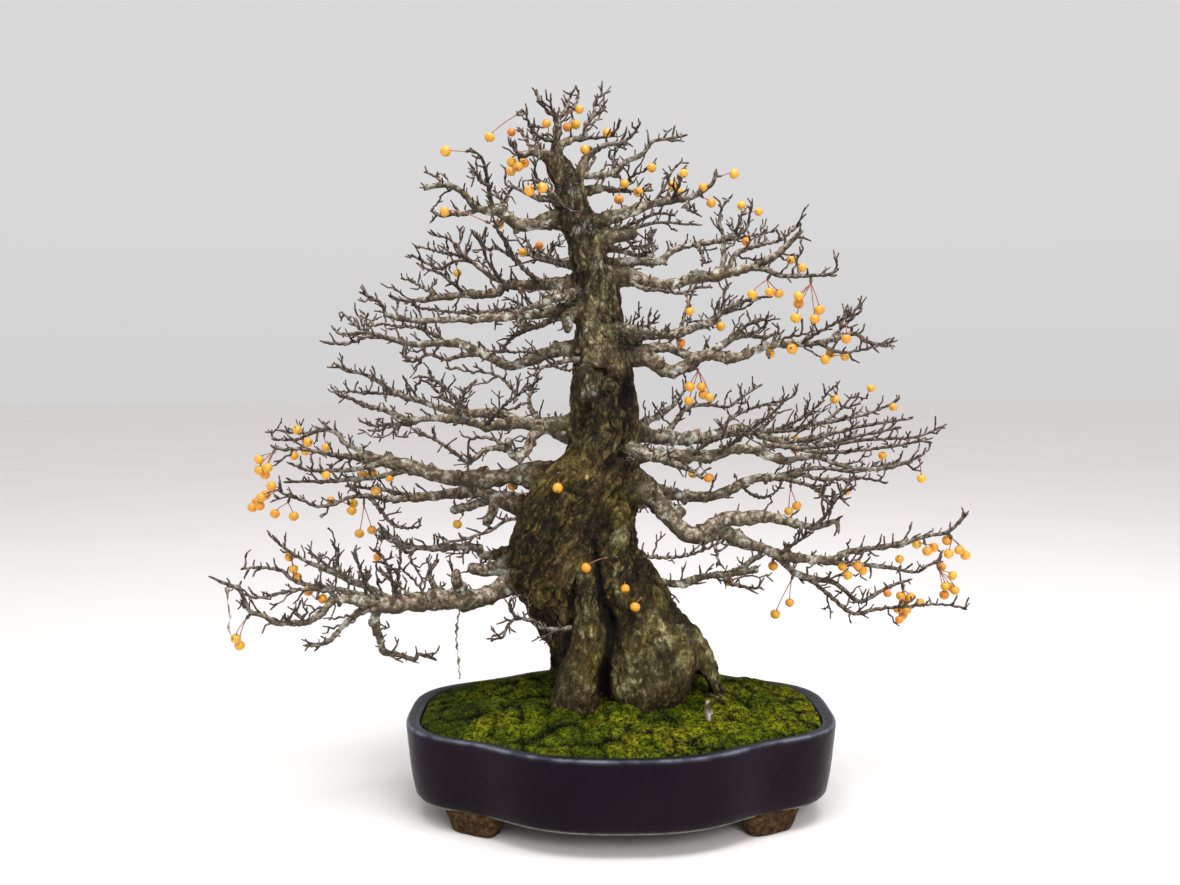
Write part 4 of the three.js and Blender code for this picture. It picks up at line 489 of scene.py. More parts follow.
class Skin:
    """The points and faces of a piece that is put together from many tubes and beads."""

    def __init__(self, keys):
        self.keys = keys
        self.points, self.outward, self.count = [], [], 0
        self.values = {key: [] for key in keys}
        self.quads, self.tris, self.quad_kind, self.tri_kind = [], [], [], []

    def tube(self, points, radii, sides, kind=0, axis=None, **values):
        """Tube of changing radius, closed at both ends. Its rings face along it, or along the axis."""
        points = np.asarray(points, float)
        rows = len(points)
        step = np.gradient(points, axis=0) if axis is None else np.tile(axis, (rows, 1))
        step = step / np.maximum(1e-9, np.linalg.norm(step, axis=1, keepdims=True))
        side = np.array([0.0, 0.0, 1.0]) if abs(step[0][2]) < 0.9 else np.array([1.0, 0.0, 0.0])
        sides_of = np.empty((rows, 3))
        for i in range(rows):
            side = side - step[i] * side.dot(step[i])
            side = side / max(1e-9, math.sqrt(side.dot(side)))
            sides_of[i] = side
        other = np.cross(step, sides_of)
        angle = 2 * np.pi * np.arange(sides) / sides
        out = (sides_of[:, None] * np.cos(angle)[:, None] + other[:, None] * np.sin(angle)[:, None])
        ring = points[:, None] + out * np.asarray(radii, float)[:, None, None]
        first = self.count
        self.points += [ring.reshape(-1, 3), points[[0, -1]]]
        self.outward += [out.reshape(-1, 3), np.stack([-step[0], step[-1]])]
        for key in self.keys:
            value = np.broadcast_to(np.asarray(values.get(key, 0.0), float), (rows,))
            self.values[key].append(np.concatenate([np.repeat(value, sides), value[[0, -1]]]))
        self.count += rows * sides + 2
        start = first + np.arange(sides)
        self.quads.append(lofted(rows, sides, first))
        self.tris += [fan(start, self.count - 2, (1, 0, 2)), fan(start + (rows - 1) * sides, self.count - 1)]
        self.quad_kind.append(np.full((rows - 1) * sides, kind))
        self.tri_kind.append(np.full(2 * sides, kind))

    def arrays(self):
        """All points, the way out of the surface at each, and the values kept there."""
        points, outward = np.vstack(self.points), np.vstack(self.outward)
        values = {key: np.concatenate(v) for key, v in self.values.items()}
        return points, outward, values

    def piece(self, name, materials, points, values):
        return make_piece(name, points, [np.vstack(self.quads), np.vstack(self.tris)], materials, values,
                          [np.concatenate(self.quad_kind), np.concatenate(self.tri_kind)])


# ------------------------------------------------------------------ the field of the trunk
FAR = 60                         # distance that stands for open space in a field


class Field:
    """Distances from a solid on a regular grid, below zero inside it."""

    def __init__(self, low, high, pitch):
        self.low, self.pitch = np.array(low, float), pitch
        self.axes = [np.arange(l, h, pitch, dtype=np.float32) for l, h in zip(low, high)]
        self.values = np.full([len(a) for a in self.axes], FAR, np.float32)

    def block(self, low, high):
        """The part of the grid inside a box, and the places of its planes."""
        cuts = [slice(*map(int, np.searchsorted(axis, ends))) for axis, *ends in zip(self.axes, low, high)]
        x, y, z = (axis[cut] for axis, cut in zip(self.axes, cuts))
        return tuple(cuts), x[:, None, None], y[None, :, None], z[None, None, :]

    def join(self, low, high, distance, blend, sign=1):
        """Joins a shape on softly, or cuts it away where the sign is -1."""
        cuts, x, y, z = self.block(low, high)
        old, new = self.values[cuts], sign * distance(x, y, z)
        share = np.clip(0.5 + sign * 0.5 * (old - new) / blend, 0, 1)
        self.values[cuts] = old * (1 - share) + new * share - sign * blend * share * (1 - share)

    def capsules(self, points, radii, blend, squeeze=1.0, sign=1):
        """A chain of tapered capsules, joined on or cut away. A squeeze below 1 makes it deep in y."""
        for a, b, ra, rb in zip(points, points[1:], radii, radii[1:]):
            reach = np.array([1, 1 / squeeze, 1]) * (max(ra, rb) + blend + 2 * self.pitch)
            scale = np.array([1, squeeze, 1])
            p, d = a * scale, (b - a) * scale
            length = max(1e-6, float(d.dot(d)))

            def distance(x, y, z):
                px, py, pz = x - p[0], y * squeeze - p[1], z - p[2]
                t = np.clip((px * d[0] + py * d[1] + pz * d[2]) / length, 0, 1)
                away = np.sqrt((px - t * d[0]) ** 2 + (py - t * d[1]) ** 2 + (pz - t * d[2]) ** 2)
                return away - (ra + t * (rb - ra))

            self.join(np.minimum(a, b) - reach, np.maximum(a, b) + reach, distance, blend, sign)

    def net(self):
        """Points and quads of the zero surface, by the surface-net rule."""
        values = np.pad(self.values, 1, constant_values=FAR)
        inside = values < 0
        shape = np.array(inside.shape)
        count = np.zeros(shape - 1, np.int8)
        for c in np.ndindex(2, 2, 2):
            count += inside[tuple(slice(o, n - 1 + o) for o, n in zip(c, shape))]
        spots = np.argwhere((count > 0) & (count < 8))
        index = np.full(shape - 1, -1, np.int32)
        index[tuple(spots.T)] = np.arange(len(spots))
        total, hits = np.zeros((len(spots), 3)), np.zeros(len(spots))
        for a in np.ndindex(2, 2, 2):
            for axis in range(3):
                if a[axis]:
                    continue
                b = np.array(a)
                b[axis] = 1
                va, vb = values[tuple((spots + a).T)], values[tuple((spots + b).T)]
                crossed = (va < 0) != (vb < 0)
                t = va[crossed] / (va[crossed] - vb[crossed])
                total[crossed] += np.array(a) + t[:, None] * (b - np.array(a))
                hits[crossed] += 1
        points = self.low + self.pitch * (spots - 1 + total / hits[:, None])
        quads = []
        for axis in range(3):
            u, v = (axis + 1) % 3, (axis + 2) % 3
            cut_low, cut_high = [slice(1, -1)] * 3, [slice(1, -1)] * 3
            cut_low[axis], cut_high[axis] = slice(0, -1), slice(1, None)
            a, b = inside[tuple(cut_low)], inside[tuple(cut_high)]
            for outward, turn in ((a & ~b, 1), (~a & b, -1)):
                at = np.argwhere(outward)
                at[:, u] += 1
                at[:, v] += 1
                corner = []
                for du, dv in ((-1, -1), (0, -1), (0, 0), (-1, 0))[::turn]:
                    cell = at.copy()
                    cell[:, u] += du
                    cell[:, v] += dv
                    corner.append(index[tuple(cell.T)])
                quads.append(np.stack(corner, axis=1))
        return points, np.vstack(quads)


def relaxed(points, quads, rounds, share=0.5):
    """Points drawn towards the middle of their neighbours."""
    ends = np.vstack([quads[:, [i, (i + 1) % 4]] for i in range(4)])
    degree = np.maximum(1, np.bincount(ends[:, 0], minlength=len(points))
                        + np.bincount(ends[:, 1], minlength=len(points)))
    for _ in range(rounds):
        total = np.zeros_like(points)
        for axis in range(3):
            total[:, axis] = (np.bincount(ends[:, 0], points[ends[:, 1], axis], len(points))
                              + np.bincount(ends[:, 1], points[ends[:, 0], axis], len(points)))
        points = points + share * (total / degree[:, None] - points)
    return points


# ------------------------------------------------------------------ materials
def set_stops(ramp, stops):
    """Gives a colour ramp its stops, each a position and a linear colour."""
    while len(ramp.elements) < len(stops):
        ramp.elements.new(0.5)
    for element, (position, colour) in zip(ramp.elements, stops):
        element.position, element.color = position, colour


class Look:
    """A node material, with short calls for the nodes that it is made of."""

    def __init__(self, name, roughness=0.8, **sockets):
        self.material = bpy.data.materials.new(name)
        self.material.use_nodes = True
        self.nodes, self.links = self.material.node_tree.nodes, self.material.node_tree.links
        self.shader = self.nodes["Principled BSDF"]
        self.shader.inputs["Roughness"].default_value = roughness
        for key, value in sockets.items():
            self.shader.inputs[key.replace("_", " ")].default_value = value
        self.place = self.nodes.new("ShaderNodeTexCoord").outputs["Object"]

    def put(self, socket, source):
        """Feeds a socket from another one, or gives it a plain value."""
        if isinstance(source, bpy.types.NodeSocket):
            self.links.new(source, socket)
        elif source is not None:
            socket.default_value = source

    def stretched(self, x, y, z):
        node = self.nodes.new("ShaderNodeMapping")
        node.inputs["Scale"].default_value = (x, y, z)
        self.links.new(self.place, node.inputs["Vector"])
        return node.outputs[0]

    def noise(self, scale, detail=3.0, roughness=0.55, vector=None, distortion=0.0):
        node = self.nodes.new("ShaderNodeTexNoise")
        self.put(node.inputs["Vector"], vector or self.place)
        for key, value in (("Scale", scale), ("Detail", detail), ("Roughness", roughness),
                           ("Distortion", distortion)):
            node.inputs[key].default_value = value
        return node.outputs["Fac"]

    def cells(self, scale, feature="F1", vector=None, output="Distance"):
        node = self.nodes.new("ShaderNodeTexVoronoi")
        node.feature = feature
        self.put(node.inputs["Vector"], vector or self.place)
        node.inputs["Scale"].default_value = scale
        return node.outputs[output]

    def kept(self, name):
        """A value that is kept at the piece's points."""
        node = self.nodes.new("ShaderNodeAttribute")
        node.attribute_name = name
        return node.outputs["Fac"]

    def reckon(self, kind, a, b=None):
        node = self.nodes.new("ShaderNodeMath")
        node.operation = kind
        self.put(node.inputs[0], a)
        self.put(node.inputs[1], b)
        return node.outputs[0]

    def times(self, a, b):
        return self.reckon("MULTIPLY", a, b)

    def plus(self, a, b):
        return self.reckon("ADD", a, b)

    def minus(self, a, b):
        return self.reckon("SUBTRACT", a, b)

    def most(self, a, b):
        return self.reckon("MAXIMUM", a, b)

    def steps(self, value, low, high, to_low=0.0, to_high=1.0):
        """A value spread from one range over another, and held at its ends."""
        node = self.nodes.new("ShaderNodeMapRange")
        for i, v in enumerate((value, low, high, to_low, to_high)):
            self.put(node.inputs[i], v)
        return node.outputs[0]

    def ramp(self, value, *stops):
        node = self.nodes.new("ShaderNodeValToRGB")
        set_stops(node.color_ramp, [(position, srgb(colour)) for position, colour in stops])
        self.put(node.inputs[0], value)
        return node.outputs["Color"]

    def mix(self, share, a, b, kind="MIX"):
        node = self.nodes.new("ShaderNodeMix")
        node.data_type, node.blend_type, node.clamp_factor = "RGBA", kind, True
        self.put(node.inputs[0], share)
        self.put(node.inputs[6], srgb(a) if isinstance(a, tuple) else a)
        self.put(node.inputs[7], srgb(b) if isinstance(b, tuple) else b)
        return node.outputs[2]

    def split(self, source):
        """The three shares of a place, a direction or a colour."""
        node = self.nodes.new("ShaderNodeSeparateXYZ")
        self.links.new(source, node.inputs[0])
        return node.outputs

    def finish(self, colour, roughness=None, relief=None, depth=0.001, strength=1.0):
        self.put(self.shader.inputs["Base Color"], colour)
        self.put(self.shader.inputs["Roughness"], roughness)
        if relief is not None:
            bump = self.nodes.new("ShaderNodeBump")
            bump.inputs["Strength"].default_value = strength
            bump.inputs["Distance"].default_value = depth
            self.links.new(relief, bump.inputs["Height"])
            self.links.new(bump.outputs[0], self.shader.inputs["Normal"])
        return self.material


def srgb(colour):
    """A colour given as three numbers from 0 to 255, as the shader's linear values."""
    shares = [c / 255 for c in colour]
    return (*(c / 12.92 if c <= 0.04045 else ((c + 0.055) / 1.055) ** 2.4 for c in shares), 1.0)


def wandering(look, scale, width, vector):
    """Thin lines that wander and break off, as cracks do: 1 on a line and 0 off it."""
    field = look.noise(scale, 3.0, 0.6, vector, 0.6)
    return look.steps(look.reckon("ABSOLUTE", look.minus(field, 0.5)), 0.0, width, 1.0, 0.0)


def plates(look, *sizes):
    """Dark gaps between plates of bark that follow the lean of the grain, and a tone for each plate.
    A size is the cells' scale, their height's share of it, the width of the gaps and how dark they are."""
    here = look.split(look.place)
    wander = look.times(look.noise(70, 5, 0.65), 0.013)
    across = look.plus(look.minus(here["X"], look.kept("lean")), wander)
    gaps = 0.0
    for scale, squeeze, width, dark in sizes:
        join = look.nodes.new("ShaderNodeCombineXYZ")
        look.put(join.inputs[0], across)
        look.put(join.inputs[1], look.minus(here["Y"], wander))
        look.put(join.inputs[2], look.plus(look.times(here["Z"], squeeze), wander))
        edge = look.cells(scale, "DISTANCE_TO_EDGE", join.outputs[0])
        gaps = look.most(gaps, look.steps(edge, 0.0, width, dark, 0.0))
    return gaps, look.split(look.cells(scale, "F1", join.outputs[0], "Color"))["X"]


def limb_colour(look, age):
    """Bark of the limbs, and of the twigs where the age is 0, with painted shade on their undersides."""
    rings = look.noise(190, 4, 0.62)
    twig = look.ramp(rings, (0.32, (36, 28, 23)), (0.5, (88, 75, 64)), (0.68, (164, 152, 140)))
    limb = look.ramp(rings, (0.32, (54, 43, 30)), (0.5, (128, 112, 90)), (0.68, (202, 192, 174)))
    colour = look.mix(age, twig, limb)
    normal = look.split(look.nodes.new("ShaderNodeNewGeometry").outputs["Normal"])
    # Painted shade: the undersides and lower sides darker, as if in shadow, broken by noise.
    under = look.steps(normal["Z"], -0.7, 0.7, 1.0, 0.0)
    painted_under_shade = look.times(under, look.steps(look.noise(30, 3), 0.3, 0.6, 0.55, 0.95))
    colour = look.mix(painted_under_shade, colour, look.mix(age, (32, 25, 20), (48, 40, 24)))
    patch = look.times(look.times(look.steps(look.noise(62, 4, 0.6), 0.55, 0.62), age), 0.8)
    lichen = look.ramp(look.noise(240, 2), (0.35, (158, 162, 146)), (0.6, (208, 210, 200)))
    colour = look.mix(patch, colour, lichen)
    dirt = look.times(look.steps(look.noise(75, 4, 0.6), 0.5, 0.6), look.times(age, 0.85))
    colour = look.mix(dirt, colour, (60, 50, 34))
    return colour, rings


def trunk_bark():
    look = Look("old_bark", 0.9, Specular_IOR_Level=0.22)
    patch = look.noise(22, 4, 0.6)
    grain = look.noise(110, 5, 0.7, look.stretched(1, 1, 0.7), 0.8)
    brown = look.ramp(grain, (0.32, (48, 35, 17)), (0.5, (104, 82, 45)), (0.68, (168, 144, 96)))
    olive = look.ramp(grain, (0.32, (46, 39, 14)), (0.5, (98, 86, 33)), (0.68, (154, 140, 72)))
    colour = look.mix(look.steps(patch, 0.42, 0.6), brown, olive)
    pale_brown = look.ramp(grain, (0.32, (42, 32, 21)), (0.5, (112, 96, 68)), (0.68, (192, 178, 146)))
    colour = look.mix(look.times(look.kept("upper"), 0.9), colour, pale_brown)
    ochre = look.ramp(grain, (0.3, (70, 52, 20)), (0.7, (146, 124, 62)))
    colour = look.mix(look.kept("ochre"), colour, ochre)
    lichen = look.times(look.kept("lichen"), look.steps(look.noise(150, 4, 0.7), 0.36, 0.6, 0.25, 1.0))
    pale = look.ramp(look.noise(75, 5, 0.7), (0.4, (56, 48, 20)), (0.5, (112, 104, 58)),
                     (0.61, (186, 178, 130)))
    colour = look.mix(lichen, colour, pale)
    spots = look.steps(look.noise(38, 3, 0.5), 0.6, 0.68)
    colour = look.mix(look.times(spots, look.kept("upper")), colour, (178, 176, 160))
    colour = look.mix(look.kept("limb"), colour, limb_colour(look, 1.0)[0])
    lines = wandering(look, 75, 0.03, look.stretched(1, 1, 0.6))
    fine = wandering(look, 200, 0.045, look.stretched(1, 1, 0.8))
    lines = look.most(look.times(lines, 0.6), look.times(fine, 0.4))
    gap, tone = plates(look, (60, 0.28, 0.12, 1.0), (125, 0.36, 0.16, 0.9))
    open_gap = look.times(gap, look.steps(look.noise(48, 3), 0.34, 0.46, 0.4, 1.0))
    flaky = look.kept("flaky")
    shade = look.steps(tone, 0.1, 0.9, 0.25, 1.15)
    colour = look.mix(look.times(flaky, 0.7), colour, shade, "MULTIPLY")
    lines = look.most(lines, look.times(open_gap, flaky))
    lines = look.times(lines, look.steps(look.kept("limb"), 0.0, 1.0, 1.0, 0.3))
    colour = look.mix(lines, colour, (20, 14, 7))
    # Dark bark in the cracks, with painted shade in their depth.
    colour = look.mix(look.kept("crack_and_shade"), colour, (22, 16, 8))
    # Painted shade of the creases, clefts and hollows, and of the trunk's foot.
    colour = look.mix(look.kept("painted_shade"), colour, (14, 10, 6))
    relief = look.minus(look.times(grain, 0.9), look.times(lines, 1.5))
    relief = look.plus(relief, look.times(look.noise(420, 3, 0.6), 0.5))
    rough = look.steps(grain, 0.3, 0.7, 0.95, 0.78)
    return look.finish(colour, rough, relief, 0.0018)


def limb_bark():
    look = Look("limb_bark", 0.8, Specular_IOR_Level=0.3)
    colour, rings = limb_colour(look, look.kept("age"))
    colour = look.mix(look.kept("bud"), colour, look.ramp(rings, (0.3, (50, 36, 28)), (0.7, (100, 74, 58))))
    relief = look.plus(rings, look.times(look.noise(620, 3), 0.5))
    return look.finish(colour, look.steps(rings, 0.3, 0.7, 0.88, 0.66), relief, 0.0009)


def fruit_skin():
    look = Look("fruit_skin", 0.3, Subsurface_Weight=0.12, Coat_Weight=0.25, Coat_Roughness=0.2)
    look.shader.inputs["Subsurface Radius"].default_value = (0.004, 0.002, 0.0006)
    tint = look.kept("tint")
    base = look.ramp(tint, (0.0, (194, 146, 74)), (0.15, (220, 168, 46)), (0.5, (219, 152, 32)),
                     (0.8, (214, 130, 26)), (1.0, (192, 90, 38)))
    blush = look.times(look.steps(look.noise(70, 3, 0.6), 0.5, 0.72), 0.45)
    colour = look.mix(blush, base, (230, 128, 26))
    dots = look.steps(look.cells(900), 0.0, 0.16, 0.4, 0.0)
    colour = look.mix(dots, colour, (176, 110, 40))
    colour = look.mix(look.kept("pole"), colour, (74, 46, 26))
    relief = look.noise(260, 3, 0.55)
    rough = look.steps(look.noise(120, 3), 0.3, 0.7, 0.24, 0.42)
    return look.finish(colour, rough, relief, 0.0003, 0.6)


def stalk_skin():
    look = Look("stalk_skin", 0.55)
    streak = look.noise(260, 3, 0.6)
    colour = look.ramp(streak, (0.3, (96, 52, 44)), (0.5, (150, 82, 66)), (0.75, (178, 124, 92)))
    return look.finish(colour, look.steps(streak, 0.3, 0.7, 0.66, 0.45), streak, 0.0004)


def moss_look():
    look = Look("moss", 0.95, Specular_IOR_Level=0.08)
    large = look.noise(15, 4, 0.65)
    fine = look.noise(210, 5, 0.8)
    grit = look.noise(900, 2, 0.6)
    # Random tone, with painted light: the right side brighter and the left darker.
    tone_and_painted_side_light = look.plus(large, look.steps(look.split(look.place)["X"], -0.2, 0.2, -0.065, 0.04))
    green = look.ramp(tone_and_painted_side_light, (0.34, (34, 52, 3)), (0.43, (66, 86, 4)), (0.52, (110, 122, 7)),
                      (0.63, (152, 150, 22)))
    colour = look.mix(look.steps(fine, 0.46, 0.56, 1.0, 0.0), green, (11, 19, 2))
    colour = look.mix(look.steps(grit, 0.54, 0.7, 0.0, 0.6), colour, (160, 164, 40))
    brown = look.times(look.steps(look.noise(31, 4, 0.6), 0.56, 0.66), 0.65)
    colour = look.mix(brown, colour, (70, 58, 12))
    # Painted shade between the cushions and over the carpet's skirt and base.
    colour = look.mix(look.kept("low"), colour, (9, 17, 3))
    # Painted highlight: the tufts' tips lighter, as if lit.
    colour = look.mix(look.kept("tip"), colour, look.ramp(large, (0.35, (64, 88, 8)), (0.6, (148, 152, 32))))
    relief = look.plus(fine, look.times(grit, 0.6))
    return look.finish(colour, look.steps(fine, 0.3, 0.7, 1.0, 0.85), relief, 0.0022)


def glaze_look():
    look = Look("pot_glaze", 0.3, Specular_IOR_Level=0.08)
    cloud = look.noise(9, 4, 0.6)
    glaze = look.ramp(cloud, (0.3, (11, 3, 14)), (0.5, (18, 5, 18)), (0.7, (27, 7, 20)))
    rim = look.times(look.kept("rim"), look.steps(look.noise(14, 3), 0.3, 0.7, 0.6, 1.0))
    colour = look.mix(rim, glaze, look.ramp(cloud, (0.35, (20, 21, 28)), (0.65, (34, 34, 40))))
    # Painted highlight along the rim's outer edge, broken by noise.
    painted_rim_highlight = look.times(look.kept("edge"), look.steps(look.noise(40, 3), 0.4, 0.6, 0.15, 0.65))
    colour = look.mix(painted_rim_highlight, colour, (128, 134, 150))
    pits = look.steps(look.cells(120), 0.0, 0.05, 0.8, 0.0)
    colour = look.mix(look.times(pits, look.steps(look.noise(21), 0.52, 0.6)), colour, (120, 104, 88))
    clay_grain = look.noise(170, 4, 0.65)
    clay = look.ramp(clay_grain, (0.28, (32, 21, 12)), (0.5, (60, 42, 26)), (0.7, (94, 72, 46)))
    clay = look.mix(look.steps(look.cells(520), 0.0, 0.2, 0.6, 0.0), clay, (50, 42, 30))
    band = look.ramp(clay_grain, (0.3, (74, 82, 76)), (0.7, (128, 134, 122)))
    clay = look.mix(look.kept("band"), clay, band)
    colour = look.mix(look.kept("clay"), colour, clay)
    rough = look.steps(look.noise(36, 3), 0.3, 0.7, 0.24, 0.4)
    rough = look.steps(look.kept("clay"), 0.0, 1.0, rough, 0.85)
    relief = look.plus(look.times(look.noise(75, 2, 0.5), 0.8),
                      look.times(look.times(clay_grain, look.kept("clay")), 2.0))
    return look.finish(colour, rough, relief, 0.0006, 0.8)


def soil_look():
    look = Look("potting_soil", 0.95)
    grains = look.cells(260, output="Color")
    tone = look.noise(90, 4, 0.7)
    colour = look.ramp(tone, (0.3, (42, 30, 20)), (0.55, (86, 64, 42)), (0.75, (128, 102, 72)))
    colour = look.mix(0.35, colour, grains, "MULTIPLY")
    return look.finish(colour, look.steps(tone, 0.3, 0.7, 1.0, 0.85), look.cells(260), 0.002)


def screen_look():
    look = Look("drain_plastic", 0.5)
    tone = look.noise(60, 3)
    colour = look.ramp(tone, (0.35, (30, 42, 38)), (0.65, (46, 62, 54)))
    return look.finish(colour, look.steps(tone, 0.3, 0.7, 0.6, 0.42), look.noise(300, 2), 0.0002)


def floor_look():
    look = Look("studio_floor", 0.75)
    tone = look.noise(3, 2)
    return look.finish(look.ramp(tone, (0.3, (240, 237, 236)), (0.7, (243, 240, 239))))


# ------------------------------------------------------------------ the tree's plan
# A limb, branch or twig: its points and radii, and its route in the front elevation with its depths.
Branch = namedtuple("Branch", "name parent points radii plan depths")
LEHMER_FACTOR, LEHMER_PRIME = 16807, 2147483647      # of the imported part's random numbers
SWAY, KNOT = 5, 0.16             # how far a route wanders in depth, and how much its radius varies


def curve_of(branch, step):
    """A branch's middle line and radius, as rows of x, y, z and radius."""
    return spline(np.column_stack([branch.points, branch.radii]), step)


def depth_at(branch, spot):
    """Depth of a branch where a place of the front elevation lies on it."""
    a, b = branch.plan[:-1], branch.plan[1:]
    span = b - a
    t = np.clip(((spot - a) * span).sum(1) / (span ** 2).sum(1), 0, 1)
    off = np.linalg.norm(spot - a - span * t[:, None], axis=1)
    i = int(np.argmin(off))
    return branch.depths[i] + t[i] * (branch.depths[i + 1] - branch.depths[i])


def grow_plan():
    """The branches of the table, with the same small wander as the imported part's."""
    state, branches = SEED, {}

    def wander(width):
        nonlocal state
        state = state * LEHMER_FACTOR % LEHMER_PRIME
        return width * (state / LEHMER_PRIME - 0.5)

    for row in BRANCHES.replace("\n  ", " ").split("\n"):
        if not row.strip():
            continue
        name, parent, base, tip, tip_depth, *route = row.split()
        plan = np.array([[float(v) for v in spot.split(",")] for spot in route])
        start = depth_at(branches[parent], plan[0]) if parent in branches else float(parent)
        run = np.concatenate([[0], np.cumsum(np.hypot(*np.diff(plan, axis=0).T))])
        points, radii, depths = [], [], []
        for i, t in enumerate(run / run[-1]):
            sway, knot = (wander(SWAY), 1 + wander(KNOT)) if i else (0.0, 1.0)
            depths.append(start + (float(tip_depth) - start) * t + sway)
            points.append(place(*plan[i], depths[-1]))
            radii.append((float(base) + (float(tip) - float(base)) * t ** 0.8) * knot)
        parent = parent if parent in branches else None
        branches[name] = Branch(name, parent, np.array(points), np.array(radii), plan, depths)
    return branches


branches = grow_plan()

# ------------------------------------------------------------------ trunk, roots and limb bases
TRUNK_LOW, TRUNK_HIGH, TRUNK_PITCH = (-128, -92, 90), (166, 132, 742), 1.85
TRUNK_SPLIT = 396                # height at which the trunk is divided into its two pieces
TRUNK_FOOT = 88                  # height at which the trunk ends, down in the moss
LIMB_BASE = 44                   # length of limb that grows out of the trunk's own piece
LIMB_STOUT = 3.4                 # base radius above which a limb does so
CLEFT_BLEND = 1.5                # how soft the lips of a cleft are


def stout_limbs():
    """Limbs whose bases are part of the trunk's own pieces."""
    return [b for b in branches.values() if b.parent is None and b.radii[0] > LIMB_STOUT]


def route_in_depth(route, step):
    """A curve through x, z, depth and radius rows of the front elevation."""
    return spline([(*place(x, z, depth), radius) for x, z, depth, radius in route], step)


def build_field():
    field = Field(TRUNK_LOW, TRUNK_HIGH, TRUNK_PITCH)
    rows = spline(TRUNK[:, [0, 0, 0, 1, 2, 3, 4]], 3)
    height = rows[:, 0]

    def column(x, y, z):
        left, right, front, back = (np.interp(z, height, rows[:, i]).astype(np.float32) for i in (3, 4, 5, 6))
        wide, deep = (right - left) / 2, (back - front) / 2
        px, py = (x - (left + right) / 2) / wide, (y - (front + back) / 2) / deep
        angle = np.arctan2(py, px)
        ridge = 1 + 0.035 * np.sin(5 * angle + z / 45) + 0.025 * np.sin(8 * angle - z / 30)
        k0 = np.sqrt(px ** 2 + py ** 2) + 1e-4
        k1 = np.sqrt((px / wide) ** 2 + (py / deep) ** 2) + 1e-6
        sides = k0 * (k0 - ridge) / k1
        return np.maximum(sides, np.maximum(z - TRUNK[-1, 0], TRUNK_FOOT - z))

    field.join(TRUNK_LOW, TRUNK_HIGH, column, 1.0)
    for blend, route in BUTTRESSES:
        rows = route_in_depth(route, 8)
        field.capsules(rows[:, :3], rows[:, 3], blend)
    for branch in stout_limbs():
        rows = curve_of(branch, 6)
        run = along(rows)
        rows = rows[run < LIMB_BASE]
        run = run[:len(rows)]
        radii = rows[:, 3] * np.interp(run, [0, 14, 30, LIMB_BASE], [1.22, 1.14, 0.98, 0.74])
        field.capsules(rows[:, :3], radii, 0.55 * branch.radii[0] + 2)
    for squeeze, _, route in CLEFTS:
        rows = route_in_depth(route, 6)
        field.capsules(rows[:, :3], rows[:, 3], CLEFT_BLEND, squeeze, sign=-1)
    return field


def lean_of(z):
    """How far the bark's grain has leant to the side at each height."""
    return 44 * smoothstep(240, 340, z) + 52 * smoothstep(330, 430, z) - 22 * smoothstep(450, 560, z)


def limb_share(p):
    """How far the bark at each place has turned into a limb's: 0 on the trunk and 1 out on a limb."""
    share = np.zeros(len(p))
    for branch in stout_limbs():
        rows = curve_of(branch, 5)
        run = along(rows)
        for row, here in zip(rows[run < LIMB_BASE + 6], run):
            if here > 8:
                close = np.abs(p[:, 2] - row[2]) < 2.2 * row[3]
                away = np.linalg.norm(p[close] - row[:3], axis=1) / row[3]
                turned = smoothstep(8, 34, here) * (1 - smoothstep(1.1, 2.1, away))
                share[close] = np.maximum(share[close], turned)
    return share


def near(p, spots, gain):
    """How near points lie to any of some spots, each with its own reach: 1 about it and 0 beyond."""
    share = np.zeros(len(p))
    for x, z, depth, reach in spots:
        away = np.linalg.norm(p - place(x, z, depth), axis=1) / reach
        share = np.maximum(share, np.clip(1 - away, 0, 1))
    return np.clip(gain * share, 0, 1)


def cleft_shade(p):
    """Painted shade of the clefts and hollows at each place: most in them, and nothing beyond ragged lips."""
    share = np.zeros(len(p))
    ragged = 2.2 * noise(p / 6, 99) + 1.2 * noise(p / 2.5, 98)
    for _, dark, route in CLEFTS:
        rows = [(*place(x, z, depth)[[0, 2, 1]], radius) for x, z, depth, radius in route]
        for x, z, y, radius in spline(rows, 2):
            beside = np.hypot(p[:, 0] - x, p[:, 2] - z) + ragged
            inside = dark * (1 - smoothstep(radius - 1.0, radius + 4.0, beside)) * (np.abs(p[:, 1] - y) < 40)
            share = np.maximum(share, inside)
    return share


# Places on the bark, each x, z and depth with a reach: where the bark is smooth, ochre or pale with
# lichen, and where shade is painted on it.
SMOOTH_BARK = [(64, 160, -70, 78), (-6, 180, -68, 40), (-20, 130, -68, 42), (122, 175, -30, 34)]
OCHRE_BARK = [(28, 296, -50, 26), (36, 326, -46, 26), (-54, 242, -50, 36), (-42, 282, -56, 24),
              (78, 150, -78, 16), (-10, 160, -68, 18)]
PALE_BARK = [(66, 176, -74, 52), (92, 190, -62, 36), (40, 130, -72, 36), (-4, 190, -70, 26),
             (-10, 226, -66, 22), (-12, 250, -62, 20), (-22, 138, -70, 28), (128, 180, -28, 36),
             (140, 140, -22, 26), (26, 262, -58, 22), (24, 236, -62, 18), (30, 300, -52, 20),
             (6, 640, -16, 24), (14, 575, -24, 26), (-20, 690, -12, 22), (10, 540, -28, 22),
             (30, 396, -38, 18)]
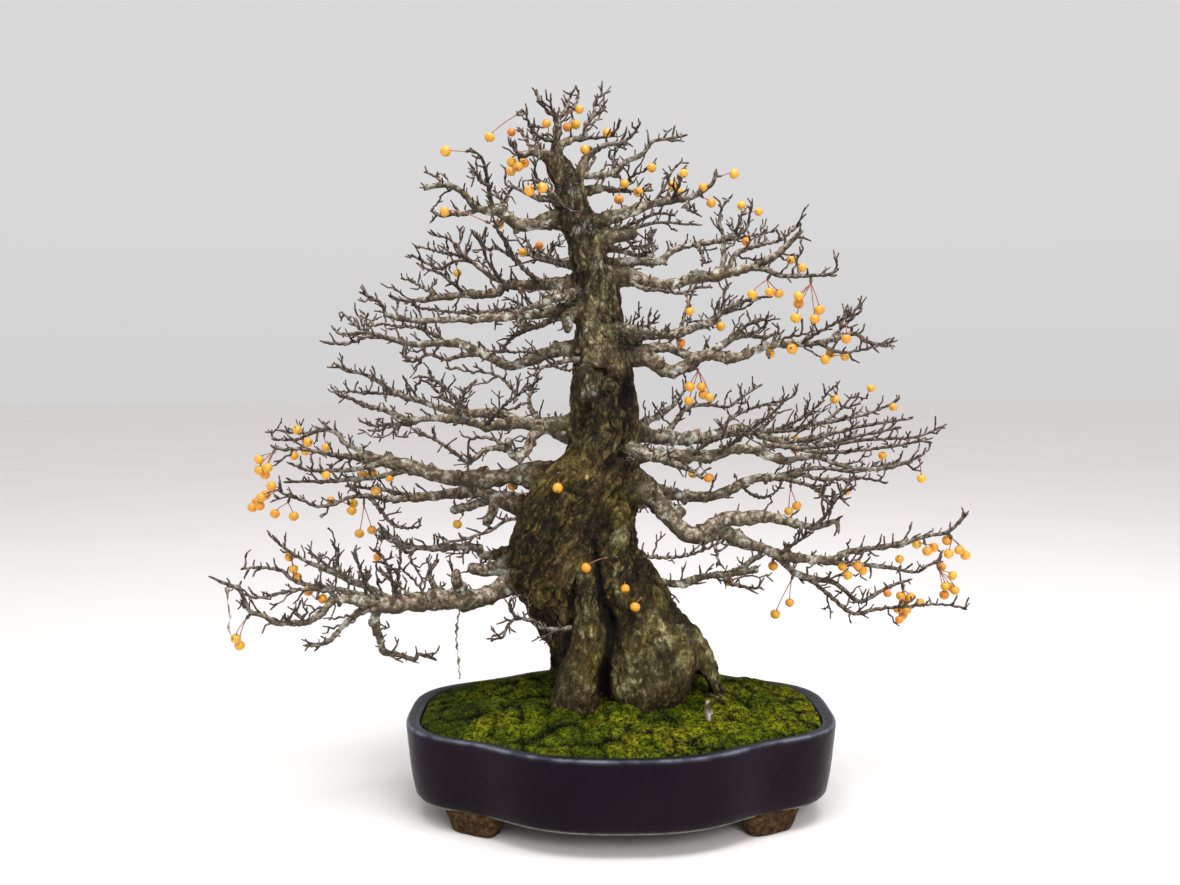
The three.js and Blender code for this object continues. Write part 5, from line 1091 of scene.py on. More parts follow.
PAINTED_SHADE_SPOTS = [(-62, 200, -36, 50), (-40, 170, -30, 46), (34, 232, -60, 22), (64, 236, -50, 26),
             (84, 222, -30, 20), (24, 190, -40, 26), (14, 140, -44, 22), (116, 132, -20, 24),
             (38, 462, -24, 22), (-74, 226, -20, 34), (-88, 262, -10, 28), (-80, 300, -14, 26),
             (30, 203, -66, 14), (46, 210, -66, 14), (64, 213, -62, 14), (82, 212, -52, 14),
             (100, 204, -38, 14), (60, 112, -66, 16), (84, 118, -56, 16), (-30, 112, -62, 18),
             (-28, 242, -52, 26), (-28, 210, -50, 26), (-5, 296, -56, 14), (88, 154, -74, 14),
             (10, 262, -54, 16), (8, 336, -50, 20), (-66, 340, -20, 20), (46, 392, -20, 16),
             (44, 520, -14, 18), (-22, 470, -10, 26), (-18, 600, -8, 18), (-16, 560, -10, 16),
             (20, 498, -30, 30), (-24, 132, -72, 22), (-50, 180, -40, 30)]


def closed_part(points, quads):
    """Some of a surface's quads on points of their own, each loop where they were cut closed by a fan."""
    source, inverse = np.unique(quads, return_inverse=True)
    quads = inverse.reshape(-1, 4)
    edges = np.vstack([quads[:, [i, (i + 1) % 4]] for i in range(4)])
    known = set(map(tuple, edges.tolist()))
    after = {b: a for a, b in known if (b, a) not in known}
    own, fans, sources = [points[source]], [], [source]
    count = len(source)
    while after:
        start, loop = next(iter(after)), []
        here = start
        while here in after:
            loop.append(here)
            here = after.pop(here)
        loop = np.array(loop)
        own.append(points[source[loop]].mean(0)[None])
        sources.append(source[loop[:1]])
        fans.append(fan(loop, count))
        count += 1
    faces = [quads, np.vstack(fans)] if fans else [quads]
    return np.vstack(own), faces, np.concatenate(sources)


PLATE_CELL, FURROW_CELL, RIDGE_CELL = [7.5, 7.5, 23.0], [27.0, 27.0, 74.0], [9, 9, 46]
PLATE_GAP, PLATE_TILT, SLAB_TILT, FURROW_DEPTH, RIDGE_RISE = 1.7, 1.7, 1.6, 3.0, 1.5
PIT_SIZE, PIT_DEPTH = 15, 2.4


def bark_relief(points, grain, smooth, upper, limb):
    """How far the bark stands out at each place, and how deep in the cracks each place lies, which darkens it
    as dark bark and painted shade.
    """
    warp = 5.0 * bent(points, 19, 31, 41, 51)
    warp += 1.6 * bent(points, 5, 32, 42, 52)
    first, second, number = cells((grain + warp) / PLATE_CELL, 3)
    broken = smoothstep(-0.55, 0.35, noise(points / 13, 55) + 0.4 * noise(points / 4, 56))
    plate = 1 - broken * (1 - smoothstep(0.02, 0.3, second - first))
    wide_first, wide_second, wide_number = cells((grain + 1.6 * warp) / FURROW_CELL, 11)
    furrow = 1 - smoothstep(0.0, 0.15, wide_second - wide_first)
    furrow = furrow * smoothstep(-0.5, 0.2, noise(points / 24, 58))
    rugged = (1 - 0.6 * smooth) * (1 - 0.25 * upper) * (1 - 0.7 * limb)
    ridges = 1 - np.abs(noise((grain + 2 * warp) / RIDGE_CELL, 63))
    height = rugged * (-PLATE_GAP * (1 - plate) + PLATE_TILT * (number - 0.5)
                       + SLAB_TILT * (wide_number - 0.5) - FURROW_DEPTH * furrow)
    height += rugged * RIDGE_RISE * (ridges - 0.6)
    height += 1.3 * fractal(points / 17, 3, 61) + 0.55 * fractal(points / 4.2, 2, 71)
    pits = 1 - smoothstep(0.0, 0.42, cells(points / PIT_SIZE, 21)[0])
    height -= PIT_DEPTH * smooth * pits
    height += 2.4 * fractal(points / 34, 2, 65) * smoothstep(300, 180, points[:, 2])
    # Dark bark in the plates' gaps, the furrows and the pits, with painted shade in their depth.
    crack_and_shade = np.clip(rugged * (0.7 * (1 - plate) + 0.65 * furrow) + 0.6 * smooth * pits, 0, 0.9)
    return height, crack_and_shade


def build_trunk():
    """The trunk with its roots and the bases of its limbs, as two closed pieces. Gives its points."""
    points, quads = build_field().net()
    points = relaxed(points, quads, 3, 0.4)
    smooth = near(points, SMOOTH_BARK, 1.6)
    upper = smoothstep(370, 540, points[:, 2])
    limb, lean = limb_share(points), lean_of(points[:, 2])
    height, crack_and_shade = bark_relief(points, points - lean[:, None] * [1, 0, 0], smooth, upper, limb)
    points = points + normals_of(points, quads) * height[:, None]
    # Painted shade: darker spots on the bark where shade falls, joined with the painted shade of the clefts
    # and the foot.
    painted_shade = near(points, PAINTED_SHADE_SPOTS, 1.5) * (0.5 + 0.5 * noise(points / 11, 81))
    # Painted shade at the trunk's foot, darker towards the moss.
    foot_shade = 0.6 * smoothstep(114, 100, points[:, 2] + 6 * noise(points / 12, 83))
    ochre = 0.85 * near(points, OCHRE_BARK, 1.5)
    looks = {
        "crack_and_shade": crack_and_shade,
        "lichen": near(points, PALE_BARK, 1.9) * smoothstep(-0.9, 0.1, noise(points / 9, 91)),
        "ochre": ochre * smoothstep(-0.4, 0.4, noise(points / 12, 95)),
        "painted_shade": np.clip(0.5 * painted_shade + cleft_shade(points) + foot_shade, 0, 0.95),
        "upper": upper,
        "limb": limb,
        "lean": 0.001 * lean,
        "flaky": (1 - 0.25 * smooth) * (1 - limb) * smoothstep(-0.9, 0.0, noise(points / 31, 97)),
    }
    above = points[quads].mean(1)[:, 2] > TRUNK_SPLIT
    bark = trunk_bark()
    for name, kept in (("trunk_base", ~above), ("trunk_top", above)):
        own, faces, source = closed_part(points, quads[kept])
        trunk = make_piece(name, own, faces, [bark], {key: value[source] for key, value in looks.items()})
        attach(trunk, "root")
        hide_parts("tree_wood")
    return points


trunk_points = build_trunk()

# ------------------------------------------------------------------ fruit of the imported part
FRUIT_RADIUS = 5.6
EDGE = 1.0515 * FRUIT_RADIUS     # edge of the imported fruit's icosahedron
FACE_DEPTH = 0.7947 * FRUIT_RADIUS                   # how far its faces lie from its middle
EXTRA_SIZE = 0.9                 # size of the fruits of EXTRA_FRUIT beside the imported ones


def read_bunch(node):
    """Fruit centres of a packed bunch, and the place where its stalks leave the spur."""
    mesh = frame["nodes"][node].data
    co = np.empty(len(mesh.vertices) * 3)
    mesh.vertices.foreach_get("co", co)
    co = 1000 * co.reshape(-1, 3) - SHIFT
    mesh.calc_loop_triangles()
    tri = np.array([t.vertices[:] for t in mesh.loop_triangles])
    a, b, c = co[tri[:, 0]], co[tri[:, 1]], co[tri[:, 2]]
    edges = np.column_stack([np.linalg.norm(v, axis=1) for v in (a - b, b - c, c - a)])
    whole = np.abs(edges - EDGE).max(1) < 0.05
    outward = np.cross(b - a, c - a)
    outward /= np.maximum(1e-9, np.linalg.norm(outward, axis=1, keepdims=True))
    found = ((a + b + c) / 3 - FACE_DEPTH * outward)[whole]
    centres = []
    for spot in found:
        if all(np.linalg.norm(spot - other) > 2 for other in centres):
            centres.append(spot)
    rest = np.array([p for p in co if min(np.linalg.norm(p - f) for f in centres) > FRUIT_RADIUS + 0.2])
    return centres, rest


wood_lines = {name: curve_of(branch, 3) for name, branch in branches.items()}
wood_all = np.vstack(list(wood_lines.values()))


def nearest_wood(spot, rows=wood_all):
    """Nearest point on the branches' middle lines, with the radius there and the gap to the bark."""
    gap = np.linalg.norm(rows[:, :3] - spot, axis=1) - rows[:, 3]
    row = rows[int(np.argmin(gap))]
    return row[:3], row[3], float(gap.min())


bunches = []                     # the node, the hub where its stalks meet, and the fruits' centres
for node in sorted(name for name in frame["nodes"] if name.startswith("fruit_")):
    centres, rest = read_bunch(node)
    gaps = np.array([nearest_wood(p)[2] for p in rest])
    hub = rest[gaps < gaps.min() + 2.0].mean(0)
    bunches.append((node, hub, centres))
extra_fruit = []
for bearer, x, z, fruit_x, fruit_z in EXTRA_FRUIT:
    depth = depth_at(branches[bearer], np.array([x, z]))
    seat, radius, _ = nearest_wood(place(x, z, depth), wood_lines[bearer])
    centre = place(fruit_x, fruit_z, depth - 6)
    out = unit(centre - seat + np.array([0, -4, 2]))
    extra_fruit.append((None, seat + out * (radius + 4), [centre]))
all_centres = np.array([c for _, _, centres in bunches + extra_fruit for c in centres])

# ------------------------------------------------------------------ limbs, twigs and spurs
UP = np.array([0.0, 0.0, 1.0])
BUD_SHAPE = [(0.0, 0.9), (0.35, 1.1), (0.7, 0.75), (1.0, 0.2)]
CROWN_SPLIT = (8, 440)           # where the limbs are divided into their four pieces, in x and in z
SPUR_FLOOR = 118.0               # no twig or spur reaches lower, down into the moss
AGE_FROM, AGE_SPAN = 1.3, 2.6    # radius up to which bark is a twig's, and how much more makes it a limb's
SPUR_TURN = 2.4                  # angle round a branch from one spur to the next
STOUT_RADIUS = 6.5               # radius of limb above which no twigs grow and many nodes are bare
# Odds, added up, of what a node bears: nothing on a stout limb, a twig or a long spur on a branch, and
# a fork or a spur on a twig. All other nodes of a branch bear a short spur.
STOUT_BARE, BRANCH_TWIG, BRANCH_SPUR, TWIG_FORK, TWIG_SPUR = 0.45, 0.3, 0.62, 0.16, 0.66
crown = {name: Skin(["age", "bud"]) for name in ("low_left", "low_right", "high_left", "high_right")}


def skin_at(point):
    """The piece of the crown that a place belongs to."""
    level = "high" if point[2] > CROWN_SPLIT[1] else "low"
    return crown[f"{level}_left" if point[0] < CROWN_SPLIT[0] else f"{level}_right"]


def age_of(radius):
    """How old the bark of a branch looks: 0 on a twig and 1 on a limb."""
    return np.clip((np.asarray(radius) - AGE_FROM) / AGE_SPAN, 0, 1)


def clear_of_fruit(points, room=2.2):
    tips = np.atleast_2d(points)
    return np.linalg.norm(all_centres[None] - tips[:, None], axis=2).min() > FRUIT_RADIUS + room


def add_bud(skin, tip, direction, size=1.0):
    """A pointed winter bud at the end of a twig or spur."""
    length = 3.4 * size
    points = [tip + direction * (length * t - 0.4) for t, _ in BUD_SHAPE]
    skin.tube(points, [size * r for _, r in BUD_SHAPE], 5, age=0, bud=1)


def with_bud(points, radii, heading, size):
    """A route and its radii with a pointed bud at the end, and the share of bud at each point."""
    tip = points[-1]
    points = np.vstack([points] + [tip + heading * (size * t) for t in (1.3, 3.0)])
    radii = np.concatenate([radii, [0.98 * size, 0.16 * size]])
    return points, radii, np.concatenate([np.zeros(len(radii) - 3), [0.35, 0.9, 1.0]])


def add_spur(skin, base, direction, length, radius, prongs=0):
    """A tapered fruiting spur that turns upwards, with a bud at its end and now and then a prong."""
    steps = 3 if length < 11 else 4
    points, here, heading = [base], base, direction
    for i in range(steps):
        heading = unit(heading + 0.3 * rng.normal(size=3) + 0.2 * UP)
        here = here + heading * (length / steps)
        points.append(here)
    points = np.array(points)
    if points[-1][2] < SPUR_FLOOR or not clear_of_fruit(points[1:]):
        return
    radii = radius * np.linspace(1.2, 0.74, steps + 1) * (1 + 0.12 * rng.normal(size=steps + 1))
    size = (0.72 + 0.2 * rng.random()) * max(1.0, radius)
    route, radii, bud = with_bud(points, np.maximum(0.55, radii), heading, size)
    skin.tube(route, radii, 5 if length > 7 else 4, age=0.25 * age_of(radius), bud=bud)
    for i in range(prongs):
        at = points[1 + int(rng.integers(steps))]
        side = unit(heading + 0.9 * rng.normal(size=3) + 0.35 * UP)
        add_spur(skin, at, side, length * (0.4 + 0.3 * rng.random()), radius * 0.86)


def add_twig(skin, base, direction, length, radius, forks=1):
    """A zigzag side twig that turns at each of its nodes, with a spur on the outside of most turns."""
    pitch = 5.5 + 3.0 * rng.random()
    count = max(2, int(length / pitch))
    points, here, heading, turn = [base], base, direction, 1.0
    across = unit(np.cross(direction, rng.normal(size=3)))
    spots = []
    for i in range(count):
        heading = unit(direction + across * 0.3 * turn + 0.17 * rng.normal(size=3) + 0.04 * i * UP)
        here = here + heading * pitch
        points.append(here)
        spots.append((here, unit(heading - 0.8 * across * turn + 0.35 * UP + 0.3 * rng.normal(size=3))))
        turn = -turn
        direction = unit(direction + 0.14 * rng.normal(size=3) + 0.05 * UP)
    points = np.array(points)
    if points[:, 2].min() < SPUR_FLOOR or not clear_of_fruit(points[1:]):
        return
    radii = np.linspace(radius, 0.62 * radius, len(points)) * (1 + 0.09 * rng.normal(size=len(points)))
    route, radii, bud = with_bud(points, np.maximum(0.6, radii), heading, 0.95)
    skin.tube(route, radii, 5, age=0.2 * age_of(radius), bud=bud)
    for spot, side in spots[:-1]:
        draw = rng.random()
        if draw < TWIG_FORK and forks and length > 18:
            add_twig(skin, spot, side, 0.6 * length, 0.85 * radius, forks - 1)
        elif draw < TWIG_SPUR:
            add_spur(skin, spot, side, 3.0 + 5.5 * rng.random(), 0.82 * radius)


def kinked(rows, radius):
    """A route with the small turns that a twig makes at its nodes, and those nodes' places along it."""
    run = along(rows)
    pitch = 8.0 + 3.0 * rng.random()
    wave = 2 * np.abs(2 * (run / pitch - np.floor(run / pitch + 0.5))) - 1
    reach = 0.85 * np.clip(run / 12, 0, 1) * np.clip(1.6 - radius / 4, 0.25, 1)
    axis = unit(np.cross(rows[-1, :3] - rows[0, :3], rng.normal(size=3)))
    other = unit(np.cross(rows[-1, :3] - rows[0, :3], axis))
    shifted = rows.copy()
    shifted[:, :3] += axis * (wave * reach)[:, None]
    slow = noise(np.column_stack([run / 17, run * 0, run * 0]) + 9 * rng.random(), 5)[:, None]
    shifted[:, :3] += other * slow * (1.1 * reach)[:, None]
    return shifted, np.arange(0.5 * pitch, run[-1], 0.5 * pitch)


BARE = ("lowN", "hang")          # dry threads that hang from the lowest limbs, with no spurs
TIP_TRIM = 5.0                   # length left off a branch's end, where its last spurs and bud reach on
BURL_RADIUS, BURL_REACH = 3.4, 360                   # least radius of limb with burls, and how far out
PARENTS = {branch.parent for branch in branches.values()}


def add_branch(branch):
    """A branch of the table, with its knuckles and knots, its end and all that grows on it."""
    base, tip = float(branch.radii[0]), float(branch.radii[-1])
    step = float(np.clip(0.5 * base, 2.1, 3.4))
    rows, nodes = kinked(curve_of(branch, step), base)
    run = along(rows)
    if tip < 2 and branch.name not in PARENTS and run[-1] > 30:
        rows = rows[run < run[-1] - TIP_TRIM]
        run = run[:len(rows)]
    radii = rows[:, 3].copy()
    radii *= 1 + 0.4 * np.exp(-run / (1.5 * base)) * (branch.parent is not None)
    gnarl = noise(np.column_stack([run / 11, 0 * run, 0 * run]) + 50 * rng.random(3), 7)
    radii *= 1 + 0.16 * gnarl * smoothstep(2.5, 5.5, radii)
    knuckle = np.exp(-((run[:, None] - nodes[None]) / 1.5) ** 2).max(1) if len(nodes) else 0
    radii *= 1 + (0.16 + 0.1 * rng.random()) * knuckle * np.clip(2.2 - radii / 3, 0.2, 1)
    ended = tip >= 3 and branch.name not in PARENTS
    if ended:
        radii[-3:] *= [1.04, 0.97, 0.72]
    sides = 12 if base > 7 else 10 if base > 4 else 8 if base > 2.6 else 6
    skin = skin_at(rows[0] if base > 5 else rows[len(rows) // 2])
    old_end = 0.3 * smoothstep(3.5, 0.5, run[-1] - run) * ended
    if branch.name in BARE:
        skin.tube(rows[:, :3], 0.72 * radii, 6, age=0.8, bud=0)
        return
    skin.tube(rows[:, :3], radii, sides, age=age_of(rows[:, 3]), bud=old_end)
    if tip < 2:
        add_bud(skin, rows[-1, :3], unit(rows[-1, :3] - rows[-3, :3]), 0.7 + 0.2 * tip)
    grow_along(branch, rows, run, radii, skin)
    if base > 4.6:
        add_burls(rows, run, radii, skin)


def add_burls(rows, run, radii, skin):
    """Old knots on a limb: short, fat stumps of spurs that were cut back, with dark ends."""
    here = 16 + 14 * rng.random()
    while here < run[-1] - 12:
        i = min(len(rows) - 2, int(np.searchsorted(run, here)))
        radius = float(radii[i])
        here += 14 + 22 * rng.random()
        if radius < BURL_RADIUS or abs(rows[i, 0]) > BURL_REACH:
            continue
        axis = unit(rows[i + 1, :3] - rows[i, :3])
        out = unit(np.cross(axis, rng.normal(size=3)) + 0.35 * axis)
        length = radius * (0.9 + 0.5 * rng.random())
        middle = rows[i, :3] + out * (0.35 * radius)
        t = np.array([0.0, 0.3, 0.6, 0.85, 1.0])
        wide = radius * (0.62 + 0.2 * rng.random()) * np.array([0.9, 1.0, 0.86, 0.66, 0.4])
        points = middle + np.outer(t * length, out) + 0.12 * radius * rng.normal(size=(5, 3))
        if clear_of_fruit(points[-1]):
            skin.tube(points, wide, 8, age=[1, 1, 1, 0.8, 0.8], bud=[0, 0, 0, 0.35, 0.8])


def grow_along(branch, rows, run, radii, skin):
    """Spurs and side twigs from a branch, more and shorter ones towards its end."""
    total = run[-1]
    here = 5.0 + 7 * rng.random()
    turn = 2 * np.pi * rng.random()
    while here < total - 2:
        i = min(len(rows) - 2, int(np.searchsorted(run, here)))
        radius = float(radii[i])
        axis = unit(rows[i + 1, :3] - rows[i, :3])
        across = unit(np.cross(axis, UP) if abs(axis[2]) < 0.93 else np.cross(axis, [1.0, 0, 0]))
        over = unit(np.cross(across, axis))
        turn += SPUR_TURN + 0.8 * rng.normal()
        out = across * math.cos(turn) + over * (math.sin(turn) + 0.45)
        out = unit(unit(out) + (0.5 + 0.7 * rng.random()) * axis)
        base = rows[i, :3] + out * (0.5 * radius)
        draw = rng.random()
        late = here / total
        if radius > STOUT_RADIUS and draw < STOUT_BARE:
            pass
        elif draw < BRANCH_TWIG and radius < STOUT_RADIUS and late > 0.1:
            length = (15 + 27 * rng.random()) * (1.15 - 0.6 * late)
            add_twig(skin, base, out, length, 1.2 + 0.35 * rng.random())
        elif draw < BRANCH_SPUR:
            length = radius + 4 + 10 * rng.random() ** 1.4
            add_spur(skin, base, out, length, 1.15 + 0.2 * rng.random(), int(rng.random() < 0.45))
        else:
            add_spur(skin, base, out, radius + 2.5 + 3.5 * rng.random(), 1.05)
        here += (4.6 + 4.6 * rng.random()) * (1.0 + 0.2 * max(0.0, radius - 2.0))


for branch in branches.values():
    add_branch(branch)


def roughened(skin):
    """Points of the crown with the bark's own lumps, scars and wrinkles."""
    points, outward, values = skin.arrays()
    age = values["age"]
    lumps = 1 - smoothstep(0.0, 0.5, cells(points / 13, 33)[0])
    height = age * (2.4 * lumps + 1.2 * fractal(points / 8, 2, 35)) + 0.2 * noise(points / 2.2, 37)
    return points + outward * height[:, None], values

# ------------------------------------------------------------------ fruit
FRUIT_SIDES = 16
FRUIT_POLAR = np.pi * np.linspace(0.02, 0.98, 13)     # from where the stalk enters to the dry scar
FRUIT_SPLIT = 560                # height above which the fruits belong to the top piece


def foot_of(hub):
    """Where the spur to a hub starts: on the middle line of the nearest branch, or on the trunk."""
    seat, _, gap = nearest_wood(hub)
    away = np.linalg.norm(trunk_points - hub, axis=1)
    i = int(np.argmin(away))
    if away[i] < gap:
        seat = trunk_points[i] - 2.5 * unit(hub - trunk_points[i])
    return seat


def clear_of_trunk(centre):
    """A fruit's centre, brought forward until it hangs before the trunk's bark."""
    spot = centre.copy()
    while True:
        beside = np.abs(trunk_points - spot)
        in_front = (beside[:, 0] < 5) & (beside[:, 2] < 5) & (trunk_points[:, 1] < spot[1] + FRUIT_RADIUS)
        if not in_front.any() or spot[1] > 0 or spot[1] < centre[1] - 40:
            return spot if spot[1] >= centre[1] - 40 else centre
        spot[1] -= 1.5


def add_fruit(skin, centre, stem, size, tint):
    """A small crabapple: sunk where its stalk enters, and with a dry scar at the other end."""
    squash = 0.93 + 0.05 * rng.random()
    scar = np.exp(-((np.pi - FRUIT_POLAR) / 0.24) ** 2)
    tall = size * squash * np.cos(FRUIT_POLAR) - 1.0 * np.exp(-(FRUIT_POLAR / 0.42) ** 2) + 0.7 * scar
    wide = size * np.sin(FRUIT_POLAR)
    pole = 0.5 * np.exp(-(FRUIT_POLAR / 0.2) ** 2) + 0.95 * scar
    skin.tube(centre + np.outer(tall, stem), wide, FRUIT_SIDES, axis=-stem, tint=tint, pole=pole)
    end = centre + tall[-1] * stem
    skin.tube([end + 0.3 * stem, end - 0.4 * stem, end - 0.9 * stem], [0.95, 0.8, 0.3], 6, pole=1)


def add_stalk(skin, hub, out, centre, size):
    """A thin stalk that leaves the spur, sags and enters the fruit. Gives the way that it comes from."""
    reach = float(np.linalg.norm(centre - hub))
    middle = (hub + centre) / 2 + 0.14 * reach * (0.5 * out + 0.6 * UP) + 0.05 * reach * rng.normal(size=3)
    stem = unit(middle - centre + (0.3 if hub[2] > centre[2] else 0.1) * reach * UP)
    entry = centre + stem * (0.93 * size - 0.85)
    control = 0.5 * (middle + entry + 0.3 * reach * stem)
    t = np.linspace(0, 1, max(6, int(reach / 3.5)))[:, None]
    line = (1 - t) ** 2 * hub + 2 * (1 - t) * t * control + t ** 2 * entry
    radii = 0.52 + 0.25 * np.exp(-9 * t[:, 0]) + 0.16 * np.exp(-9 * (1 - t[:, 0]))
    skin.tube(line, radii, 5, kind=1)
    return stem


def add_hub(hub, seat):
    """The spur that bears a bunch, from its branch to the stalks, with scales round its end."""
    skin = skin_at(seat)
    length = float(np.linalg.norm(hub - seat))
    t = np.linspace(0, 1, max(5, int(length / 2.5)))
    line = seat + np.outer(t, hub - seat) + 0.05 * length * np.outer(np.sin(np.pi * t), UP)
    radii = np.interp(t, [0, 0.5, 0.8, 1], [1.7, 1.35, 1.75, 1.1]) * (1 + 0.1 * rng.normal(size=len(t)))
    skin.tube(line, radii, 6, age=0.2, bud=0.2)
    for _ in range(3):
        add_bud(skin, line[-2], unit(hub - seat + 0.8 * length * rng.normal(size=3)), 0.7)


def build_fruit():
    groups = {"left": [], "right": [], "top": []}
    for bunch in bunches + extra_fruit:
        x, _, z = bunch[1]
        groups["top" if z > FRUIT_SPLIT else "left" if x < CROWN_SPLIT[0] else "right"].append(bunch)
    materials = [fruit_skin(), stalk_skin()]
    for name, members in groups.items():
        skin = Skin(["tint", "pole"])
        for node, hub, centres in members:
            seat = foot_of(hub)
            add_hub(hub, seat)
            for centre in map(clear_of_trunk, centres):
                size = FRUIT_RADIUS * (0.94 + 0.1 * rng.random()) * (1.0 if node else EXTRA_SIZE)
                stem = add_stalk(skin, hub, unit(hub - seat), centre, size)
                tint = float(np.clip(0.4 + 0.19 * rng.normal(), 0.1, 0.95))
                add_fruit(skin, centre, stem, size, tint)
        piece = skin.piece(f"crabapples_{name}", materials, *skin.arrays()[::2])
        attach(piece, "root")
        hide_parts(*[node for node, _, _ in members if node])


build_fruit()
limb_skin = limb_bark()
for name, skin in crown.items():
    shaped, values = roughened(skin)
    piece = skin.piece(f"limbs_{name}", [limb_skin], shaped, values)
    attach(piece, "root")
    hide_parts("tree_wood")

# ------------------------------------------------------------------ pot
POT_SIDE, POT_FRONT, POT_BLEND = (237.5, 122, 3.5), (172, 175, 2.5), 12
POT_POINTS = 288
DRAIN_X, DRAIN_RADIUS = 95.0, 11.0
FOOT_X, FOOT_Y, FOOT_TURN, FOOT_POINTS = 156, 90, 0.5, 40
FOOT_POWER = 0.6                 # how square a foot's outline is: 1 is round

# The pot's section from the edge of its underside up the outside, over the rim and down to its floor:
# height, inset from the outline, then how much of the rim's look, the edge's painted highlight, the band's
# look and the clay's look.
POT_PROFILE = [
    (24.0, 17.0, 0, 0, 0, 1), (24.0, 15.0, 0, 0, 1, 1), (24.8, 13.7, 0, 0, 1, 1), (26.4, 12.0, 0, 0, 1, 1),
    (27.6, 11.0, 0, 0, 0.4, 0.3), (30, 9.0, 0, 0, 0, 0), (38, 7.4, 0, 0, 0, 0), (48, 5.6, 0, 0, 0, 0),
    (62, 3.8, 0, 0, 0, 0), (76, 2.4, 0, 0, 0, 0), (88, 1.2, 0, 0, 0, 0), (97, 0.5, 0, 0, 0, 0),
    (101, 0.0, 0.1, 0.0, 0, 0), (103.4, 0.0, 0.3, 0.2, 0, 0), (105.0, 0.8, 0.6, 0.9, 0, 0),
    (105.8, 2.2, 1, 0.7, 0, 0), (106, 4.2, 1, 0.1, 0, 0), (105.7, 8.5, 1, 0, 0, 0),
    (105.3, 12.2, 1, 0.1, 0, 0), (104.4, 14.3, 1, 0.3, 0, 0), (102.2, 15.3, 0.6, 0, 0, 0),
    (96, 16.3, 0.2, 0, 0, 0.3), (80, 18.5, 0, 0, 0, 1), (54, 21.9, 0, 0, 0, 1), (42, 26.3, 0, 0, 0, 1),
    (38, 27.9, 0, 0, 0, 1)]
# Sections of a bracket foot: height, half length, half depth. The last one is sunk in the pot.
FOOT_SECTIONS = [(0, 25, 11), (0.6, 26.2, 12.2), (3, 27.6, 13), (9, 30, 14.4), (16, 32.4, 16), (26, 36, 19)]


def pot_radius(angle, inset=0.0):
    """Reach of the four-lobed outline at each angle."""
    c, s = np.abs(np.cos(angle)) + 1e-9, np.abs(np.sin(angle)) + 1e-9
    lobes = [((c / a) ** n + (s / b) ** n) ** (-1 / n) for a, b, n in (POT_SIDE, POT_FRONT)]
    return (lobes[0] ** POT_BLEND + lobes[1] ** POT_BLEND) ** (1 / POT_BLEND) - inset


def pot_ring(z, inset):
    angle = 2 * np.pi * np.arange(POT_POINTS) / POT_POINTS
    radius = pot_radius(angle, inset)
    return np.column_stack([POT_X + radius * np.cos(angle), radius * np.sin(angle), np.full(POT_POINTS, z)])


def pot_floor(first):
    """Rings from the wall's two lower edges in to the drain holes, one half of the floor at a time."""
    half, quarter = POT_POINTS // 2, POT_POINTS // 4
    steps = 23                               # points down the floor's middle, shared by both halves
    levels = [(POT_PROFILE[0], 0, 0), (POT_PROFILE[-1], (len(POT_PROFILE) - 1) * POT_POINTS, steps)]
    middle = []
    for (z, inset, *_), _, _ in levels:
        reach = float(pot_radius(np.pi / 2, inset))
        y = np.linspace(reach, -reach, steps + 2)[1:-1]
        middle.append(np.column_stack([np.full(steps, POT_X), y, np.full(steps, z)]))
    parts, quads = [np.vstack(middle)], []
    used = first + 2 * steps
    for side in (1, -1):
        around = np.arange(-quarter, quarter + 1) if side > 0 else np.arange(quarter, quarter + half + 1)
        around = around % POT_POINTS
        holes = []
        for level, ((z, inset, *_), rim, start) in enumerate(levels):
            line = np.arange(steps)[::side]
            outer = np.concatenate([rim + around, first + start + line])
            places = np.vstack([pot_ring(z, inset)[around], middle[level][line]])
            centre = np.array([POT_X + side * DRAIN_X, 0.0, z])
            angle = np.arctan2(places[:, 1], places[:, 0] - centre[0])
            hole = centre + DRAIN_RADIUS * np.column_stack([np.cos(angle), np.sin(angle), 0 * angle])
            for share in (0.5, 0.82, 1.0):
                parts.append(places + (hole - places) * share)
                ring = used + np.arange(len(outer))
                used += len(outer)
                quad = np.stack([outer, np.roll(outer, -1), np.roll(ring, -1), ring], axis=1)
                quads.append(quad if level else quad[:, ::-1])
                outer = ring
            holes.append(outer)
        low, high = holes
        quads.append(np.stack([high, np.roll(high, -1), np.roll(low, -1), low], axis=1))
    return np.vstack(parts), quads


def pot_foot(side, end):
    """One bracket foot, its upper part sunk in the pot's floor."""
    angle = 2 * np.pi * (np.arange(FOOT_POINTS) + 0.5) / FOOT_POINTS
    along_foot, across = (np.sign(v) * np.abs(v) ** FOOT_POWER for v in (np.cos(angle), np.sin(angle)))
    turn = -side * end * FOOT_TURN
    rings = []
    for z, long, deep in FOOT_SECTIONS:
        x, y = long * along_foot, deep * across
        rings.append(np.column_stack([x * math.cos(turn) - y * math.sin(turn) + POT_X + side * FOOT_X,
                                      x * math.sin(turn) + y * math.cos(turn) + end * FOOT_Y,
                                      np.full(FOOT_POINTS, z)]))
    points = np.vstack(rings)
    points = points + 0.5 * bent(points, 8, 3, 5) * (points[:, 2] > 0)[:, None]
    ring, total = np.arange(FOOT_POINTS), len(points)
    caps = np.vstack([fan(ring, total, (1, 0, 2)), fan(total - FOOT_POINTS + ring, total + 1)])
    points = np.vstack([points, points[:FOOT_POINTS].mean(0), points[-FOOT_POINTS:].mean(0)])
    return points, lofted(len(rings), FOOT_POINTS), caps


